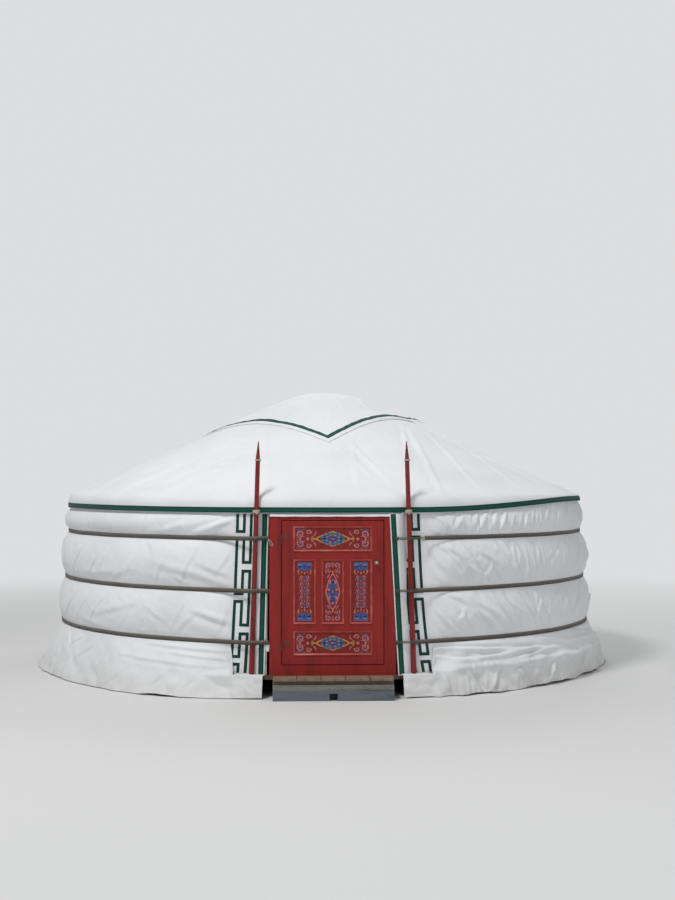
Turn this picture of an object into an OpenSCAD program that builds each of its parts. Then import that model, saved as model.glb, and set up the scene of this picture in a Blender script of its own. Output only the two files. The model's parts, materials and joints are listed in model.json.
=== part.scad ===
/* [Platform] */
// Height of the floor above the ground
floor_z = 200; // [180:5:260]
// Thickness of the floor boards
deck_t = 35; // [20:1:45]
// How far the floor reaches beyond the wall's foot
deck_reach = 73; // [60:1:80]
// Number of floor bearers
bearer_n = 5; // [3:2:9]
// Width of a floor bearer
bearer_w = 100; // [60:5:140]
// Spacing of the floor bearers
bearer_pitch = 1200; // [600:10:1300]

/* [Step] */
// How far the step stays inside the door frame on each side
step_in = 35; // [20:1:50]
// Height of the grey plinth on the ground
plinth_h = 85; // [50:1:85]
// Thickness of the weathered step board
board_t = 54; // [30:1:55]
// Depth of the plinth from front to back
plinth_d = 230; // [180:1:260]
// Height of the row of threshold tiles
tile_h = 26; // [25:1:50]
// Number of threshold tiles
tile_n = 5; // [3:1:8]
// Joint between two tiles
tile_joint = 4; // [3:0.5:8]
// Width of the notch in the plinth
notch_w = 75; // [40:1:120]

/* [Wall] */
// Outer radius of the wall canvas at the floor
wall_r = 2977; // [2800:1:3100]
// How far the wall canvas rises above the door frame
wall_rise = 80; // [60:1:100]
// Inward lean of the wall in degrees
wall_lean = 4.05; // [2:0.05:5]
// Thickness of felt and canvas under a belt
cover_t = 30; // [20:1:40]
// How far the canvas bulges between two belts
bulge = 55; // [10:1:60]
// Number of canvas gores round the wall, in four groups
gore_n = 24; // [12:4:32]
// Seam gap between two gores
seam = 0.6; // [0.4:0.1:0.9]

/* [Belts] */
// Height of the lowest belt above the floor
belt_low = 310; // [280:1:340]
// Height of the middle belt above the floor
belt_mid = 790; // [740:1:840]
// Height of the upper belt above the floor
belt_top = 1280; // [1230:1:1330]
// Width of a belt
belt_w = 34; // [20:1:60]
// Thickness of a belt
belt_t = 8; // [4:0.5:10]

/* [Skirt] */
// How far the hem lies beyond the floor's edge
hem_reach = 157; // [130:1:220]
// Thickness of the skirt canvas
skirt_t = 12; // [6:1:16]
// Width of the low skirt from the door frame outwards
low_skirt_w = 300; // [290:1:350]
// Clearance of the skirt and the floor's edge beside the door frame
skirt_clear = 60; // [55:1:70]

/* [Lattice] */
// Number of lattice heads round the wall
head_n = 48; // [32:8:56]
// Rows of half diamonds from foot to head
row_n = 6; // [4:2:8]
// Width of a lattice slat
slat_w = 32; // [24:1:40]
// Thickness of a lattice slat
slat_t = 12; // [8:1:16]
// How far the lattice heads rise above the door frame
lattice_rise = 115; // [90:1:140]

/* [Roof] */
// Pitch of the roof in degrees
pitch = 23.75; // [20:0.25:27]
// Thickness of felt and canvas on the roof
roof_t = 25; // [15:1:30]
// How far the eave stands out from the wall's top
eave_out = 30; // [24:1:40]
// How far the eave hangs down over the wall's top
eave_lap = 50; // [30:1:60]
// Thickness of the hanging eave
valance_t = 15; // [8:1:16]
// Radius of the rounded eave
eave_round = 45; // [30:1:60]
// Width of the green eave band
band_w = 65; // [40:1:70]
// Thickness of the green eave band
band_t = 3; // [2:0.5:5]
// Radius of a roof pole at the wall
rafter_r = 22; // [16:1:26]
// Radius of a roof pole at the crown
rafter_tip_r = 16; // [10:1:18]

/* [Crown] */
// Radius of the crown ring's middle line
ring_r = 720; // [680:1:760]
// Width of the crown ring's rim
ring_w = 80; // [60:1:90]
// Height of the crown ring's rim
ring_h = 90; // [60:1:90]
// Number of felloes that the crown ring is joined from
felloe_n = 8; // [6:2:12]
// Number of arched crown ribs
rib_n = 8; // [6:2:12]
// Width of a crown rib
rib_w = 40; // [24:1:50]
// Height of a crown rib
rib_h = 55; // [35:1:65]
// Radius of the crown hub
hub_r = 110; // [80:1:140]
// Side of the square crown cover
crown_side = 1850; // [1760:1:1900]
// Thickness of the crown cover
crown_t = 12; // [8:1:16]
// Radius of the crown cover's rounded top
dome_r = 1303; // [1200:1:1400]
// Width of the green tape on the crown cover
crown_tape_w = 50; // [30:1:80]
// Distance from the crown cover's edge to its tape
crown_hem = 45; // [20:1:60]
// Radius of a crown post
post_r = 40; // [30:1:50]
// Length of the cross head on a crown post
post_head_l = 340; // [240:1:350]

/* [Door] */
// Width of the door frame
frame_w = 1190; // [1050:5:1300]
// Height of the door frame
frame_h = 1500; // [1400:5:1700]
// Depth of the door frame
frame_d = 150; // [145:1:160]
// Width of a jamb
jamb_w = 110; // [90:1:130]
// Height of the lintel
lintel_h = 45; // [40:1:70]
// Height of the sill
sill_h = 95; // [60:1:120]
// Gap round the door leaf
leaf_gap = 8; // [6:1:12]
// Thickness of the door leaf
leaf_t = 45; // [36:1:50]
// Width of the stiles of the door leaf
stile_w = 106; // [90:1:120]
// Height of the upper panel
upper_panel_h = 235; // [180:1:260]
// Height of the lower panel
lower_panel_h = 225; // [180:1:260]
// Width of the moulding round a panel
moulding_w = 16; // [10:1:24]
// Height of the knob above the floor
knob_z = 1050; // [950:1:1100]
// Radius of the knob
knob_r = 21; // [15:1:28]

/* [Side poles] */
// Distance of a pole's foot from the side of the door frame
pole_foot_out = 165; // [145:1:175]
// Distance of a pole's top from the side of the door frame
pole_top_out = 105; // [95:1:135]
// How far a pole rises above the eave band
pole_rise = 600; // [400:1:800]
// Radius of a pole near its foot
pole_r = 26; // [20:1:28]
// Radius of a pole near its top
pole_tip_r = 21; // [14:1:24]

/* [Hidden] */

$fn = 48;
// Facets of the circles as wide as the building
wide_fn = 256;
// Clearance of a piece that rests on another
seat = 0.4;
// Clearance of pieces that only pass each other
pass = 3;
// Room that cuts reach beyond what they cut
far = 5000;

canvas = "whitesmoke";
trim_green = "seagreen";
red_paint = "firebrick";
raw_wood = "burlywood";

// Heights up the building
header_z = floor_z + frame_h;
wall_top = header_z + wall_rise;
lattice_top = header_z + lattice_rise;
belt_zs = [floor_z + belt_low, floor_z + belt_mid, floor_z + belt_top];
belt_land = belt_w + 6;

function wall_line(z) = wall_r - (z - floor_z) * tan(wall_lean);
function lattice_line(z) = wall_line(z) - cover_t - 2 * pass - slat_t;
seam_az = seam / wall_r * 90 / PI;

// The roof is a set of parallel slopes, each given by its distance from the origin
deck_r = wall_r + deck_reach;
hem_r = deck_r + hem_reach;
lattice_out_top = lattice_line(lattice_top) + slat_t;
d_axis = sin(pitch) * lattice_out_top + cos(pitch) * (lattice_top + seat) + rafter_r;
d_under = d_axis + rafter_r + 2.5;
d_over = d_under + roof_t;
d_crown_in = d_over + 0.5;
d_crown = d_crown_in + crown_t;
function slope_z(d, r) = (d - sin(pitch) * r) / cos(pitch);

// The eave
valance_r = wall_line(wall_top) + eave_out;
valance_z = wall_top - eave_lap;
roof_hole_r = ring_r + ring_w + 5;

// The door stands a little behind the eave's face
frame_y = -(valance_r - 15);
edge_x = frame_w / 2 + 5;
skirt_gap = frame_w / 2 + skirt_clear;
low_skirt_az = asin((frame_w / 2 + low_skirt_w) / wall_r);
leaf_x = frame_w / 2 - jamb_w - leaf_gap;
leaf_z = floor_z + sill_h + leaf_gap;
leaf_top = header_z - lintel_h - leaf_gap;
leaf_back = frame_y + leaf_t;
stop_t = 20;
stop_gap = 6;

// Azimuth 0 is the middle of the door, and it grows to the right as the visitor sees it
module at_azimuth(az) rotate([0, 0, az - 90]) children();
function out_at(az, r) = [r * sin(az), -r * cos(az)];

module revolve_part(az_from, az_to, points)
    at_azimuth(az_from) rotate_extrude(angle = az_to - az_from, $fn = wide_fn) polygon(points);

module rod(p, q, r1, r2) {
    v = q - p;
    translate(p) rotate([0, acos(v[2] / norm(v)), atan2(v[1], v[0])])
        cylinder(h = norm(v), r1 = r1, r2 = r2);
}

// Floor

deck_notch_y = frame_y - 15;

module floor_bearers() color(raw_wood)
    intersection() {
        cylinder(h = floor_z - deck_t, r = wall_r, $fn = wide_fn);
        for (i = [0:bearer_n - 1])
            translate([(i - (bearer_n - 1) / 2) * bearer_pitch - bearer_w / 2, frame_y, 0])
                cube([bearer_w, 2 * wall_r, floor_z - deck_t]);
    }

module floor_deck() color(raw_wood)
    translate([0, 0, floor_z - deck_t]) difference() {
        cylinder(h = deck_t, r = deck_r, $fn = wide_fn);
        translate([-skirt_gap, deck_notch_y - far, -1]) cube([2 * skirt_gap, far, deck_t + 2]);
    }

// Step in front of the door

step_w = frame_w - 2 * step_in;
step_back = deck_notch_y - pass;
tile_z = floor_z - tile_h;
spacer_inset = 50;
board_inset = 15;
tile_d = plinth_d - 40;
tile_w = (step_w - (tile_n - 1) * tile_joint) / tile_n;
notch_h = plinth_h * 0.8;

module threshold_tiles() color("tan")
    for (i = [0:tile_n - 1])
        translate([-step_w / 2 + i * (tile_w + tile_joint), step_back - tile_d, tile_z])
            cube([tile_w, tile_d, tile_h]);

module step_spacer() color("dimgray")
    translate([-step_w / 2, step_back - tile_d + spacer_inset, plinth_h + board_t])
        cube([step_w, tile_d - spacer_inset, tile_z - plinth_h - board_t]);

module step_board() color("gray")
    translate([-step_w / 2, step_back - plinth_d + board_inset, plinth_h])
        cube([step_w, plinth_d - board_inset, board_t]);

module step_plinth() color("slategray")
    translate([-step_w / 2, step_back - plinth_d, 0]) difference() {
        cube([step_w, plinth_d, plinth_h]);
        translate([(step_w - notch_w) / 2, -1, -1]) cube([notch_w, plinth_d / 2, notch_h + 1]);
    }

// Door frame

module door_jambs() color(red_paint)
    for (side = [0, 1]) mirror([side, 0, 0])
        translate([-frame_w / 2, frame_y, floor_z])
            cube([jamb_w, frame_d, frame_h - lintel_h]);

// Strips behind the leaf, which it closes against
module door_stops() color(red_paint) {
    stop_x = frame_w / 2 - jamb_w;
    for (side = [0, 1]) mirror([side, 0, 0])
        translate([-stop_x, leaf_back + stop_gap, floor_z + sill_h])
            cube([stop_t, stop_t, frame_h - lintel_h - sill_h]);
    translate([seat + stop_t - stop_x, leaf_back + stop_gap, header_z - lintel_h - stop_t])
        cube([2 * (stop_x - stop_t - seat), stop_t, stop_t]);
}

module door_lintel() color(red_paint)
    translate([-frame_w / 2, frame_y, header_z - lintel_h])
        cube([frame_w, frame_d, lintel_h]);

module door_sill() color(red_paint)
    translate([jamb_w - frame_w / 2, frame_y, floor_z])
        cube([frame_w - 2 * jamb_w, frame_d, sill_h]);

// Curved beam on the lintel, which carries the roof poles over the door
header_r = wall_line(wall_top) - cover_t - 2 * pass;
header_w = 45;
header_az = asin((frame_w / 2 - 40) / header_r);
header_top = slope_z(d_axis - rafter_r, header_r) - seat;

module door_header() color(raw_wood)
    revolve_part(-header_az, header_az, [for (p = [[-header_w, header_z + seat],
        [0, header_z + seat], [0, header_top], [-header_w, header_top]]) p + [header_r, 0]]);

// Door leaf with five panels

panel_gap = 52;
top_rail = 52;
lock_rail = 75;
mid_rail = 66;
low_rail = 86;
field_x = leaf_x - stile_w;
slim_w = (2 * field_x - 2 * panel_gap) / 3;
upper_z = leaf_top - top_rail - upper_panel_h;
lower_z = leaf_z + low_rail;
slim_z = lower_z + lower_panel_h + mid_rail;
slim_h = upper_z - lock_rail - slim_z;
// Each panel is its left edge, its lower edge, its width and its height
panels = concat([[-field_x, upper_z, 2 * field_x, upper_panel_h],
    [-field_x, lower_z, 2 * field_x, lower_panel_h]],
    [for (i = [0:2]) [-field_x + i * (slim_w + panel_gap), slim_z, slim_w, slim_h]]);
pocket_d = 16;
panel_t = 12;
moulding_t = 8;
moulding_lap = 4;

module on_leaf(p, y) translate([p[0], y, p[1]]) rotate([90, 0, 0]) children();

module door_leaf() color(red_paint)
    difference() {
        translate([-leaf_x, frame_y, leaf_z]) cube([2 * leaf_x, leaf_t, leaf_top - leaf_z]);
        for (p = panels) on_leaf(p, frame_y + pocket_d)
            translate([moulding_w, moulding_w])
                cube([p[2] - 2 * moulding_w, p[3] - 2 * moulding_w, pocket_d + 1]);
    }

module door_panels() color("maroon")
    for (p = panels) on_leaf(p, frame_y + pocket_d)
        translate([moulding_w + seat, moulding_w + seat])
            cube([p[2] - 2 * (moulding_w + seat), p[3] - 2 * (moulding_w + seat), panel_t]);

module door_mouldings() color(red_paint)
    for (p = panels) on_leaf(p, frame_y)
        difference() {
            cube([p[2], p[3], moulding_t]);
            translate([moulding_w - moulding_lap, moulding_w - moulding_lap, -1])
                cube([p[2] - 2 * (moulding_w - moulding_lap),
                    p[3] - 2 * (moulding_w - moulding_lap), moulding_t + 2]);
        }

rose_t = 4;
module door_knob() color("lightgray")
    translate([leaf_x - 65, frame_y, floor_z + knob_z]) rotate([90, 0, 0])
        rotate_extrude() polygon([[0, 0], [knob_r + 6, 0], [knob_r + 4, rose_t],
            [9, rose_t + 2], [8, rose_t + 22], [knob_r - 4, rose_t + 30], [knob_r, rose_t + 38],
            [knob_r - 3, rose_t + 48], [knob_r - 11, rose_t + 53], [0, rose_t + 54]]);

// Lift-off hinges: a pin on the frame, and a strap with its bore on the leaf

hinge_x = -(frame_w / 2 - jamb_w - leaf_gap / 2);
knuckle_r = 8;
hinge_y = frame_y - knuckle_r - 1;
hinge_pin_r = 4;
hinge_bore_r = 4.4;
knuckle_h = 45;
hinge_inset = 130;
hinge_plate_t = 3;
hinge_plate_l = 60;
hinge_strap_l = stile_w - 20;
hinge_zs = [leaf_z + hinge_inset, leaf_top - hinge_inset - 2 * knuckle_h];
knuckle_gap = 1;

module frame_hinges() color("dimgray")
    for (z = hinge_zs) translate([hinge_x, 0, z]) {
        translate([0, hinge_y, 0]) cylinder(h = knuckle_h, r = knuckle_r);
        translate([0, hinge_y, 0]) cylinder(h = 2 * knuckle_h, r = hinge_pin_r);
        translate([-hinge_plate_l, frame_y - hinge_plate_t, 0])
            cube([hinge_plate_l, hinge_plate_t, knuckle_h]);
    }

module door_hinges() color("dimgray")
    for (z = hinge_zs) translate([hinge_x, 0, z + knuckle_h + knuckle_gap])
        difference() {
            union() {
                translate([0, hinge_y, 0]) cylinder(h = knuckle_h, r = knuckle_r);
                translate([0, frame_y - hinge_plate_t, 0])
                    cube([hinge_strap_l, hinge_plate_t, knuckle_h]);
            }
            translate([0, hinge_y, -1]) cylinder(h = knuckle_h + 2, r = hinge_bore_r);
        }

// Lattice wall: two crossed layers of slats between floor and heads

door_az = asin(edge_x / wall_line(wall_top)) + 0.45;
lattice_arc = 360 - 2 * door_az;
head_step = lattice_arc / head_n;
lattice_foot = floor_z + seat;
section_n = 8;
section_heads = head_n / section_n;
// Azimuth that a slat gains on its way up
slat_turn = head_step * row_n / 2;

// A slat leans, so a level cut through it is wider than the slat
slat_run = slat_w * norm([lattice_top - lattice_foot, slat_turn * PI / 180 * wall_r])
    / (lattice_top - lattice_foot);
slat_steps = 2;
slat_bite = 0.5;
thin = 0.5;

module slat_level(foot_az, lean, layer, step) {
    t = step / slat_steps;
    z = lattice_foot + t * (lattice_top - lattice_foot - thin);
    at_azimuth(foot_az + lean * t * slat_turn)
        translate([lattice_line(z) + (layer - 1) * (slat_t - slat_bite), -slat_run / 2, z])
            cube([slat_t, slat_run, thin]);
}

module slat(foot_az, lean, layer)
    for (step = [1:slat_steps]) hull() {
        slat_level(foot_az, lean, layer, step - 1);
        slat_level(foot_az, lean, layer, step);
    }

// One section of lattice in two halves, which a fine cut parts, with a wider gap at its ends
section_gap_az = 0.15;
half_heads = section_heads / 2;
module lattice_section(i)
    for (half = [0, 1]) {
        az = door_az + (i * section_heads + half * half_heads) * head_step;
        intersection() {
            union() for (k = [0:half_heads + row_n / 2 - 1]) {
                slat(az + (k + 0.5 - row_n / 2) * head_step, 1, 1);
                slat(az + (k + 0.5) * head_step, -1, 0);
            }
            linear_extrude(far) polygon([[0, 0],
                out_at(az + (half == 0 ? section_gap_az : seam_az), far),
                out_at(az + half_heads * head_step - (half == 1 ? section_gap_az : seam_az), far)]);
        }
    }

module lattice(quarter) color("peru")
    for (i = [0, 1]) lattice_section(2 * quarter + i);

// Wall canvas, pinched in by the belts

bulge_steps = 6;
bay_ends = [[belt_zs[0] + belt_land / 2, belt_zs[1] - belt_land / 2],
    [belt_zs[1] + belt_land / 2, belt_zs[2] - belt_land / 2],
    [belt_zs[2] + belt_land / 2, valance_z - 5]];
function land_r(z) = wall_line(belt_zs[z]);
function bay_curve(bay) = let (z0 = bay_ends[bay][0], z1 = bay_ends[bay][1],
    r0 = land_r(bay), r1 = bay == 2 ? wall_line(z1) : land_r(bay + 1))
    [for (i = [0:bulge_steps]) let (t = i / bulge_steps)
        [r0 + (r1 - r0) * t + bulge * sin(180 * t), z0 + (z1 - z0) * t]];
wall_foot = floor_z + seat;
wall_profile = concat([[wall_line(wall_foot) - cover_t, wall_foot], [wall_line(wall_foot), wall_foot],
    [land_r(0), belt_zs[0] - belt_land / 2]], bay_curve(0), bay_curve(1), bay_curve(2),
    [[wall_line(wall_top), wall_top], [wall_line(wall_top) - cover_t, wall_top]]);

wall_az = asin(edge_x / wall_r);
gore_az = (360 - 2 * wall_az) / gore_n;

module wall_quarter(q) color(canvas)
    difference() {
        for (i = [0:gore_n / 4 - 1]) {
            az = wall_az + (q * gore_n / 4 + i) * gore_az;
            revolve_part(az + seam_az - (az == wall_az ? 2 : 0),
                az + gore_az - seam_az + (q * gore_n / 4 + i == gore_n - 1 ? 2 : 0), wall_profile);
        }
        translate([-edge_x, -far, 0]) cube([2 * edge_x, far, far]);
        if (q == 0 || q == 3) for (side = [-1, 1]) pole_groove(side);
    }

module wall_over_door() color(canvas)
    intersection() {
        revolve_part(-20, 20, [for (p = [[-cover_t, header_z + seat], [0, header_z + seat],
            [0, wall_top], [-cover_t, wall_top]]) [wall_line(p[1]) + p[0], p[1]]]);
        translate([-edge_x + seam, -far, 0]) cube([2 * (edge_x - seam), far, far]);
    }

// Skirt canvas, from under the lowest belt to the ground

skirt_top = belt_zs[0] - belt_land / 2 - 2;
skirt_top_r = wall_line(skirt_top) + 0.5;
skirt_run = skirt_t / cos(atan((hem_r - skirt_top_r) / skirt_top));
skirt_az = (360 - 2 * low_skirt_az) / gore_n;

module skirt_quarter(q) color(canvas)
    for (i = [0:gore_n / 4 - 1]) {
        az = low_skirt_az + (q * gore_n / 4 + i) * skirt_az;
        revolve_part(az + seam_az, az + skirt_az - seam_az, [[skirt_top_r, skirt_top],
            [skirt_top_r + skirt_run, skirt_top], [hem_r, 0], [hem_r - skirt_run, 0]]);
    }

module skirt_beside_door() color(canvas)
    for (side = [0, 1]) mirror([side, 0, 0]) difference() {
        revolve_part(5, low_skirt_az - seam_az, [[wall_r + pass, floor_z + seat],
            [deck_r + pass, floor_z + seat], [hem_r - skirt_run, 0], [hem_r, 0],
            [deck_r + pass + skirt_run / 2, floor_z + seat + skirt_t],
            [wall_r + pass, floor_z + seat + skirt_t]]);
        translate([-skirt_gap, -far, -1]) cube([2 * skirt_gap, far, far]);
    }

// Roof canvas, rounded over the eave

roof_az = 360 / gore_n;
function eave_curve(r, d, round_r) =
    [for (i = [0:5]) let (a = (90 - pitch) * i / 5)
        [r - round_r + round_r * cos(a),
         slope_z(d - round_r, r - round_r) + round_r * sin(a)]];
roof_profile = concat([[valance_r - valance_t, valance_z], [valance_r, valance_z]],
    eave_curve(valance_r, d_over, eave_round),
    [[roof_hole_r, slope_z(d_over, roof_hole_r)], [roof_hole_r, slope_z(d_under, roof_hole_r)]],
    [for (i = [5:-1:0]) eave_curve(valance_r - valance_t, d_under, eave_round * 0.6)[i]]);

module roof_quarter(q) color(canvas)
    for (i = [0:gore_n / 4 - 1]) {
        az = (q * gore_n / 4 + i) * roof_az;
        revolve_part(az + seam_az, az + roof_az - seam_az, roof_profile);
    }

// Roof poles from the lattice heads to the crown ring

rafter_low_r = lattice_out_top + 9;
rafter_top_d = ring_w / 2 + seat;
ring_z = slope_z(d_axis, ring_r);
rafter_foot = [rafter_low_r, 0, slope_z(d_axis, rafter_low_r)];
rafter_tip = [ring_r + rafter_top_d * cos(pitch), 0, ring_z - rafter_top_d * sin(pitch)];
rafters_over_door = 3;
// Heads stand where an up slat and a down slat meet at the top
head_az = [for (i = [0:head_n - 1]) door_az + (i + 0.5) * head_step];
door_rafter_step = 2 * head_az[0] / (rafters_over_door + 1);
rafter_az = concat([for (i = [1:rafters_over_door]) -head_az[0] + i * door_rafter_step], head_az);

module rafters(from_az, to_az) color("orangered")
    for (az = rafter_az) if (az >= from_az && az < to_az)
        at_azimuth(az) rod(rafter_foot, rafter_tip, rafter_r, rafter_tip_r);

// Crown

module rim_section(extra)
    translate([ring_r, ring_z]) rotate(-pitch)
        square([ring_w + 2 * extra, ring_h + 2 * extra], center = true);

// Each post stands under the middle of a felloe
module crown_ring() color("orangered")
    for (i = [0:felloe_n - 1]) {
        turn = 360 / felloe_n;
        gap = seam / ring_r * 90 / PI;
        at_azimuth(90 + (i - 0.5) * turn + gap)
            rotate_extrude(angle = turn - 2 * gap, $fn = wide_fn) rim_section(0);
    }

dome_z = slope_z(d_crown - dome_r, 0);
rib_top_r = dome_r - crown_t - 2 * seat - 0.1;
rib_end_gap = 0.6;

module crown_ribs() color("orangered")
    for (i = [0:rib_n - 1]) rotate([90, 0, 360 / rib_n * (i + 0.5)]) translate([0, 0, -rib_w / 2])
        linear_extrude(rib_w) difference() {
            translate([0, dome_z]) circle(rib_top_r, $fn = wide_fn);
            translate([0, dome_z]) circle(rib_top_r - rib_h, $fn = wide_fn);
            translate([hub_r + seat - far, -far]) square([far, 2 * far]);
            translate([ring_r, ring_z]) rotate(-pitch)
                translate([-ring_w / 2 - rib_end_gap, -far / 2]) square([far, far]);
        }

hub_z = dome_z + sqrt(rib_top_r * rib_top_r - hub_r * hub_r);

module crown_hub() color("orangered")
    translate([0, 0, hub_z - rib_h]) cylinder(h = rib_h, r = hub_r);

// The top of the crown cover is an arc that runs out into the roof's slope
crown_reach = crown_side * 0.72;
dome_steps = 8;
function crown_curve(d, r) = concat(
    [for (i = [0:dome_steps]) let (a = pitch * i / dome_steps)
        [r * sin(a), dome_z + r * cos(a)]],
    [[crown_reach, slope_z(d, crown_reach)]]);
function reversed(list) = [for (i = [len(list) - 1:-1:0]) list[i]];

module crown_shell(low, high)
    rotate_extrude() polygon(concat(crown_curve(d_crown + low, dome_r + low),
        reversed(crown_curve(d_crown + high, dome_r + high))));

module diamond(side)
    translate([0, 0, floor_z]) linear_extrude(far) rotate(45) square(side, center = true);

module crown_cover() color(canvas)
    intersection() {
        crown_shell(-crown_t, 0);
        diamond(crown_side);
    }

module crown_tape() color(trim_green)
    intersection() {
        crown_shell(seat, seat + 2);
        difference() {
            diamond(crown_side - 2 * crown_hem);
            diamond(crown_side - 2 * (crown_hem + crown_tape_w));
        }
    }

post_head_w = 54;
post_head_h = 90;
post_head_z = slope_z(d_axis, ring_r) - ring_h / 2 - post_head_h;

module crown_posts() color("orangered")
    for (side = [-1, 1]) translate([side * (ring_r - 5), 0, floor_z])
        cylinder(h = post_head_z - floor_z, r = post_r);

module post_heads() color("orangered")
    difference() {
        for (side = [-1, 1])
            translate([side * (ring_r - 5), 0, post_head_z]) rotate([90, 0, 90])
                linear_extrude(post_head_w, center = true)
                    polygon([[-post_r, 0], [post_r, 0], [post_head_l / 2, post_head_h * 0.5],
                        [post_head_l / 2, post_head_h], [-post_head_l / 2, post_head_h],
                        [-post_head_l / 2, post_head_h * 0.5]]);
        rotate_extrude() rim_section(seat);
    }

// Side poles, which stand on the floor's edge and lean on the eave

band_z = valance_z + 5;
pole_foot_x = frame_w / 2 + pole_foot_out;
pole_top_x = frame_w / 2 + pole_top_out;
pole_foot_z = floor_z + seat + skirt_t + seat;
pole_lean_z = band_z + band_w;
pole_top_z = pole_lean_z + pole_rise;
pole_lean_r = valance_r + seat + band_t + seat + pole_r;
function pole_x(z) = pole_foot_x + (pole_top_x - pole_foot_x) * (z - pole_foot_z)
    / (pole_top_z - pole_foot_z);
pole_foot_y = -sqrt(pow(wall_r + 13, 2) - pow(pole_foot_x, 2));
pole_lean_y = -sqrt(pow(pole_lean_r, 2) - pow(pole_x(pole_lean_z), 2));
function pole_y(z) = pole_foot_y + (pole_lean_y - pole_foot_y) * (z - pole_foot_z)
    / (pole_lean_z - pole_foot_z);
function pole_at(side, z) = [side * pole_x(z), pole_y(z), z];
pole_point = 170;

module along_pole(side) {
    p = pole_at(side, pole_foot_z);
    v = pole_at(side, pole_top_z) - p;
    translate(p) rotate([0, acos(v[2] / norm(v)), atan2(v[1], v[0])]) children();
}
pole_l = norm(pole_at(1, pole_top_z) - pole_at(1, pole_foot_z));

module pole_groove(side)
    along_pole(side) cylinder(h = pole_l, r = pole_r + seat);

module side_poles() color("darkred")
    for (side = [-1, 1]) along_pole(side)
        rotate_extrude() polygon([[0, 0], [6, 0], [pole_r - 8, 1.2], [pole_r, 14],
            [pole_tip_r, pole_l - pole_point], [3, pole_l], [0, pole_l]]);

pole_ring_drop = 190;
pole_ring_h = 18;
module pole_rings() color("whitesmoke")
    for (side = [-1, 1]) along_pole(side) translate([0, 0, pole_top_z - pole_ring_drop - pole_foot_z])
        difference() {
            cylinder(h = pole_ring_h, r = pole_r + 5);
            translate([0, 0, -1]) cylinder(h = pole_ring_h + 2, r = pole_tip_r + 1.2);
        }

// Belts round the wall, led out over the side poles to the door frame

module belt(z) {
    r = wall_line(z) + seat;
    pole = [pole_x(z), pole_y(z)];
    pole_az = atan2(pole[0], -pole[1]);
    over_r = norm(pole) + pole_r + pass;
    leave_az = pole_az + acos(r / over_r);
    end_r = r + 2 + band_t;
    end_az = asin((edge_x + 3) / end_r);
    translate([0, 0, z - belt_w / 2]) linear_extrude(belt_w) {
        difference() {
            circle(r + belt_t, $fn = wide_fn);
            circle(r, $fn = wide_fn);
            polygon([[0, 0], out_at(-leave_az, far), out_at(0, 1.4 * far), out_at(leave_az, far)]);
        }
        for (side = [-1, 1]) polygon([out_at(side * leave_az, r), out_at(side * pole_az, over_r),
            out_at(side * end_az, end_r), out_at(side * end_az, end_r + belt_t),
            out_at(side * pole_az, over_r + belt_t * 1.02), out_at(side * leave_az, r + belt_t)]);
    }
}

module wall_belts() color("dimgray") for (z = belt_zs) belt(z);

module eave_band() color(trim_green)
    rotate_extrude() translate([valance_r + seat, band_z]) square([band_t, band_w]);

// Green tapes down the canvas edges beside the door

tape_w = 52;
tape_t = 2;
tape_inset = 2;
tape_profile = concat(
    [for (p = wall_profile) if (p[0] > wall_line(p[1]) - cover_t / 2 && p[1] < valance_z)
        p + [seat, 0]],
    reversed([for (p = wall_profile) if (p[0] > wall_line(p[1]) - cover_t / 2 && p[1] < valance_z)
        p + [seat + tape_t, 0]]));

module edge_tapes() color(trim_green)
    intersection() {
        revolve_part(-20, 20, tape_profile);
        for (side = [0, 1]) mirror([side, 0, 0])
            translate([edge_x + tape_inset, -far, 0]) cube([tape_w, far, far]);
    }

floor_bearers();
floor_deck();
threshold_tiles();
step_spacer();
step_board();
step_plinth();
door_jambs();
door_stops();
door_lintel();
door_sill();
door_header();
door_leaf();
door_panels();
door_mouldings();
door_knob();
door_hinges();
frame_hinges();
lattice(0);  // lattice_front_right
lattice(1);  // lattice_back_right
lattice(2);  // lattice_back_left
lattice(3);  // lattice_front_left
wall_quarter(0);  // wall_front_right
wall_quarter(1);  // wall_back_right
wall_quarter(2);  // wall_back_left
wall_quarter(3);  // wall_front_left
wall_over_door();
skirt_quarter(0);  // skirt_front_right
skirt_quarter(1);  // skirt_back_right
skirt_quarter(2);  // skirt_back_left
skirt_quarter(3);  // skirt_front_left
skirt_beside_door();
roof_quarter(0);  // roof_front_right
roof_quarter(1);  // roof_back_right
roof_quarter(2);  // roof_back_left
roof_quarter(3);  // roof_front_left
rafters(-1, 179.9);  // roof_poles_right
rafters(179.9, 360);  // roof_poles_left
crown_ring();
crown_ribs();
crown_hub();
crown_cover();
crown_tape();
crown_posts();
post_heads();
wall_belts();
eave_band();
edge_tapes();
side_poles();
pole_rings();
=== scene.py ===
"""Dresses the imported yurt: wrinkled canvas, tapes, belts, painted door and fittings, on a plain stage.

The file is laid out as an add-on: sizes and colours, one operator for each group of pieces, and a panel.
"""
import json
import math
import random

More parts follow.
